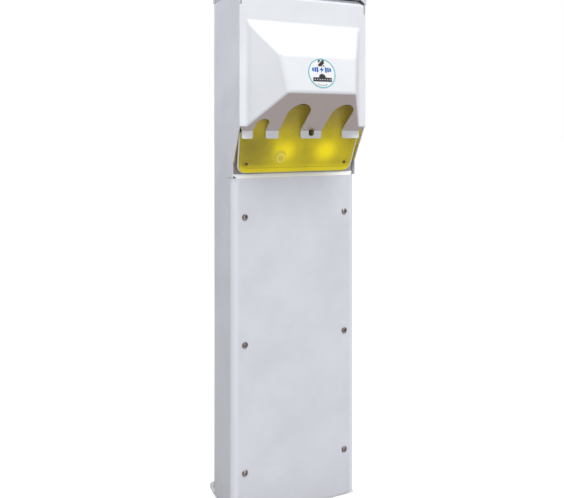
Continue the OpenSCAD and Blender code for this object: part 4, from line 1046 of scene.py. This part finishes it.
def make_badge():
    """A round vinyl badge with a teal ring and generic power signs."""
    low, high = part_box("badge")
    centre = (low + high) / 2
    lean = math.atan2(FOLD_LOW_OUT - FOLD_HIGH_OUT, FOLD_HIGH_UP - FOLD_LOW_UP)
    out = Vector((0, -math.cos(lean), math.sin(lean)))
    to_face = Matrix.Translation(centre - out * 0.3 * MM) @ Matrix.Rotation(math.pi / 2 - lean, 4, "X")
    inks = {"teal": (0.16, 0.50, 0.54), "blue": (0.010, 0.13, 0.50), "dark": (0.035, 0.035, 0.038),
            "white": (0.75, 0.76, 0.78)}
    inks = {color: ink(f"ink_{color}", light) for color, light in inks.items()}

    def layer(name, mesh, color=None):
        made = thing(name, mesh)
        made.data.transform(to_face)
        place(made, "door", "badge_vinyl", "badge")
        if color:
            made.data.materials[0] = inks[color]
        return made

    disc = lathe("badge_disc", [(0, 0.02), (27, 0.02), (27, 0.35), (26.8, 0.5), (0, 0.55)], 96)
    edge_break(layer("badge_disc", disc), 0.05, 40.0)
    ring = [(24.4, 0.45), (26.5, 0.45), (26.5, 0.62), (24.4, 0.62), (24.4, 0.45)]
    layer("badge_ring", lathe("badge_ring", ring, 96), "teal")
    for name, (outlines, color) in badge_signs().items():
        top = 0.70 if name == "lights" else 0.64
        layer(f"badge_{name}", flat_shapes(name, outlines, 0.4, top), color)


# ---- Everything that keeps its CAD shape ----

SOFT_EDGES = {
    "base_plate": 0.5, "shell_feet": 0.4, "header_rail": 0.3, "panel_rails": 0.3, "divider_shelf": 0.3,
    "light_tray": 0.4, "lamp_bracket": 0.25, "lamp_driver": 0.8, "socket_panel": 0.35, "socket_housings": 0.5,
    "socket_inserts": 0.3, "flap_small": 0.5, "flap_left": 0.5, "flap_right": 0.5, "din_rail": 0.2,
    "breakers": 0.5, "lever_small": 0.4, "lever_left": 0.4, "lever_right": 0.4, "button_housing": 0.6,
    "test_button": 0.5, "gear_plate": 0.3, "terminal_block": 0.5, "ground_bar": 0.4, "lock_staple": 0.4,
    "hinge_leaves_fixed": 0.2, "hinge_leaves_door": 0.2, "conduit_bushing": 0.6, "wire_grommet": 0.5,
}


def dress_nodes():
    """Gives every carried-over node its slot's material, and breaks its edges where they show."""
    pale = coated("base_paint", color=(0.86, 0.87, 0.89, 1.0), roughness=0.5, grain=700.0, relief=0.00008,
                  tone=0.06, dust=0.1, reach=0.02)
    own = {"lock_staple": dark_metal("weathered_staple", (0.15, 0.13, 0.04)), "base_plate": pale}
    slots = {s["node"]: s["material_slot"] for s in RECORD["subparts"]}
    for name, node in frame["nodes"].items():
        node.data.materials.clear()
        node.data.materials.append(own.get(name) or material_of(slots[name]))
        for polygon in node.data.polygons:
            polygon.material_index = 0
        if name in SOFT_EDGES and not node.hide_render:
            modifier(node, "WELD", merge_threshold=0.00001)
            modifier(node, "DECIMATE", decimate_type="DISSOLVE", angle_limit=math.radians(1.0))
            edge_break(node, SOFT_EDGES[name], 40.0)


# ---- Camera, light and floor ----

def make_camera():
    """Stands left of the post at chest height and looks level, with the frame shifted down."""
    data = bpy.data.cameras.new("camera")
    data.lens = 39.242
    data.sensor_width = 36.0
    data.shift_y = -0.2104
    camera = thing("camera", data)
    camera.location = (-0.49543, -1.05731, 0.70988)
    camera.rotation_euler = (math.pi / 2, 0, -0.42102)
    bpy.context.scene.camera = camera


def softbox(name, place_at, aim, size, watts):
    """A rectangular studio light turned towards a point."""
    data = bpy.data.lights.new(name, "AREA")
    data.shape = "RECTANGLE"
    data.size, data.size_y = size
    data.energy = watts
    light = thing(name, data)
    light.location = place_at
    light.rotation_euler = (Vector(aim) - Vector(place_at)).to_track_quat("-Z", "Y").to_euler()


# The floor's glow shows to the camera alone; the room is white to the camera and lights with this strength
FLOOR_GLOW = 0.9
ROOM_LIGHT = 0.46


def make_stage():
    """A pale floor in a white room, with three soft lights."""
    bm = bmesh.new()
    size = 30.0
    corners = [bm.verts.new((x * size, y * size, 0)) for x, y in ((-1, -1), (1, -1), (1, 1), (-1, 1))]
    bm.faces.new(corners)
    floor = thing("floor", finish_mesh(bm, "floor"))
    made, graph, sockets = new_material("floor_paint")
    looks = use(graph, GRAIN, Scale=60.0, Cloud_Scale=0.8)
    graph.feed(sockets["Base Color"], graph.blend(looks["Cloud"], (0.56, 0.56, 0.56, 1), (0.6, 0.6, 0.6, 1)))
    sockets["Roughness"].default_value = 0.8
    seen = graph.node("ShaderNodeLightPath").outputs["Is Camera Ray"]
    graph.feed(sockets["Emission Color"], graph.blend(seen, (0.0, 0.0, 0.0, 1), (1.0, 1.0, 1.0, 1)))
    sockets["Emission Strength"].default_value = FLOOR_GLOW
    floor.data.materials.append(made)
    world = bpy.data.worlds.new("room")
    bpy.context.scene.world = world
    world.use_nodes = True
    graph = Graph(world.node_tree)
    back = world.node_tree.nodes["Background"]
    back.inputs["Color"].default_value = (1.0, 1.0, 1.0, 1)
    seen = graph.node("ShaderNodeLightPath").outputs["Is Camera Ray"]
    strength = graph.math("ADD", ROOM_LIGHT, graph.math("MULTIPLY", seen, 1.0 - ROOM_LIGHT))
    graph.feed(back.inputs["Strength"], strength)
    bpy.context.scene.view_settings.view_transform = "Standard"
    softbox("above", (0.5, -2.5, 4.7), aim=(0, 0, 0.6), size=(2.0, 1.6), watts=160)
    softbox("front", (0.4, -3.2, 0.7), aim=(0, 0, 0.6), size=(1.6, 1.0), watts=10)
    softbox("left", (-1.1, 0.1, 1.75), aim=(0, 0.05, 0.8), size=(0.8, 0.6), watts=10)


make_camera()
make_stage()
make_hood()
make_shell()
make_panel()
make_cap()
make_lens()
make_rim()
make_seals()
make_screws()
make_badge()
dress_nodes()
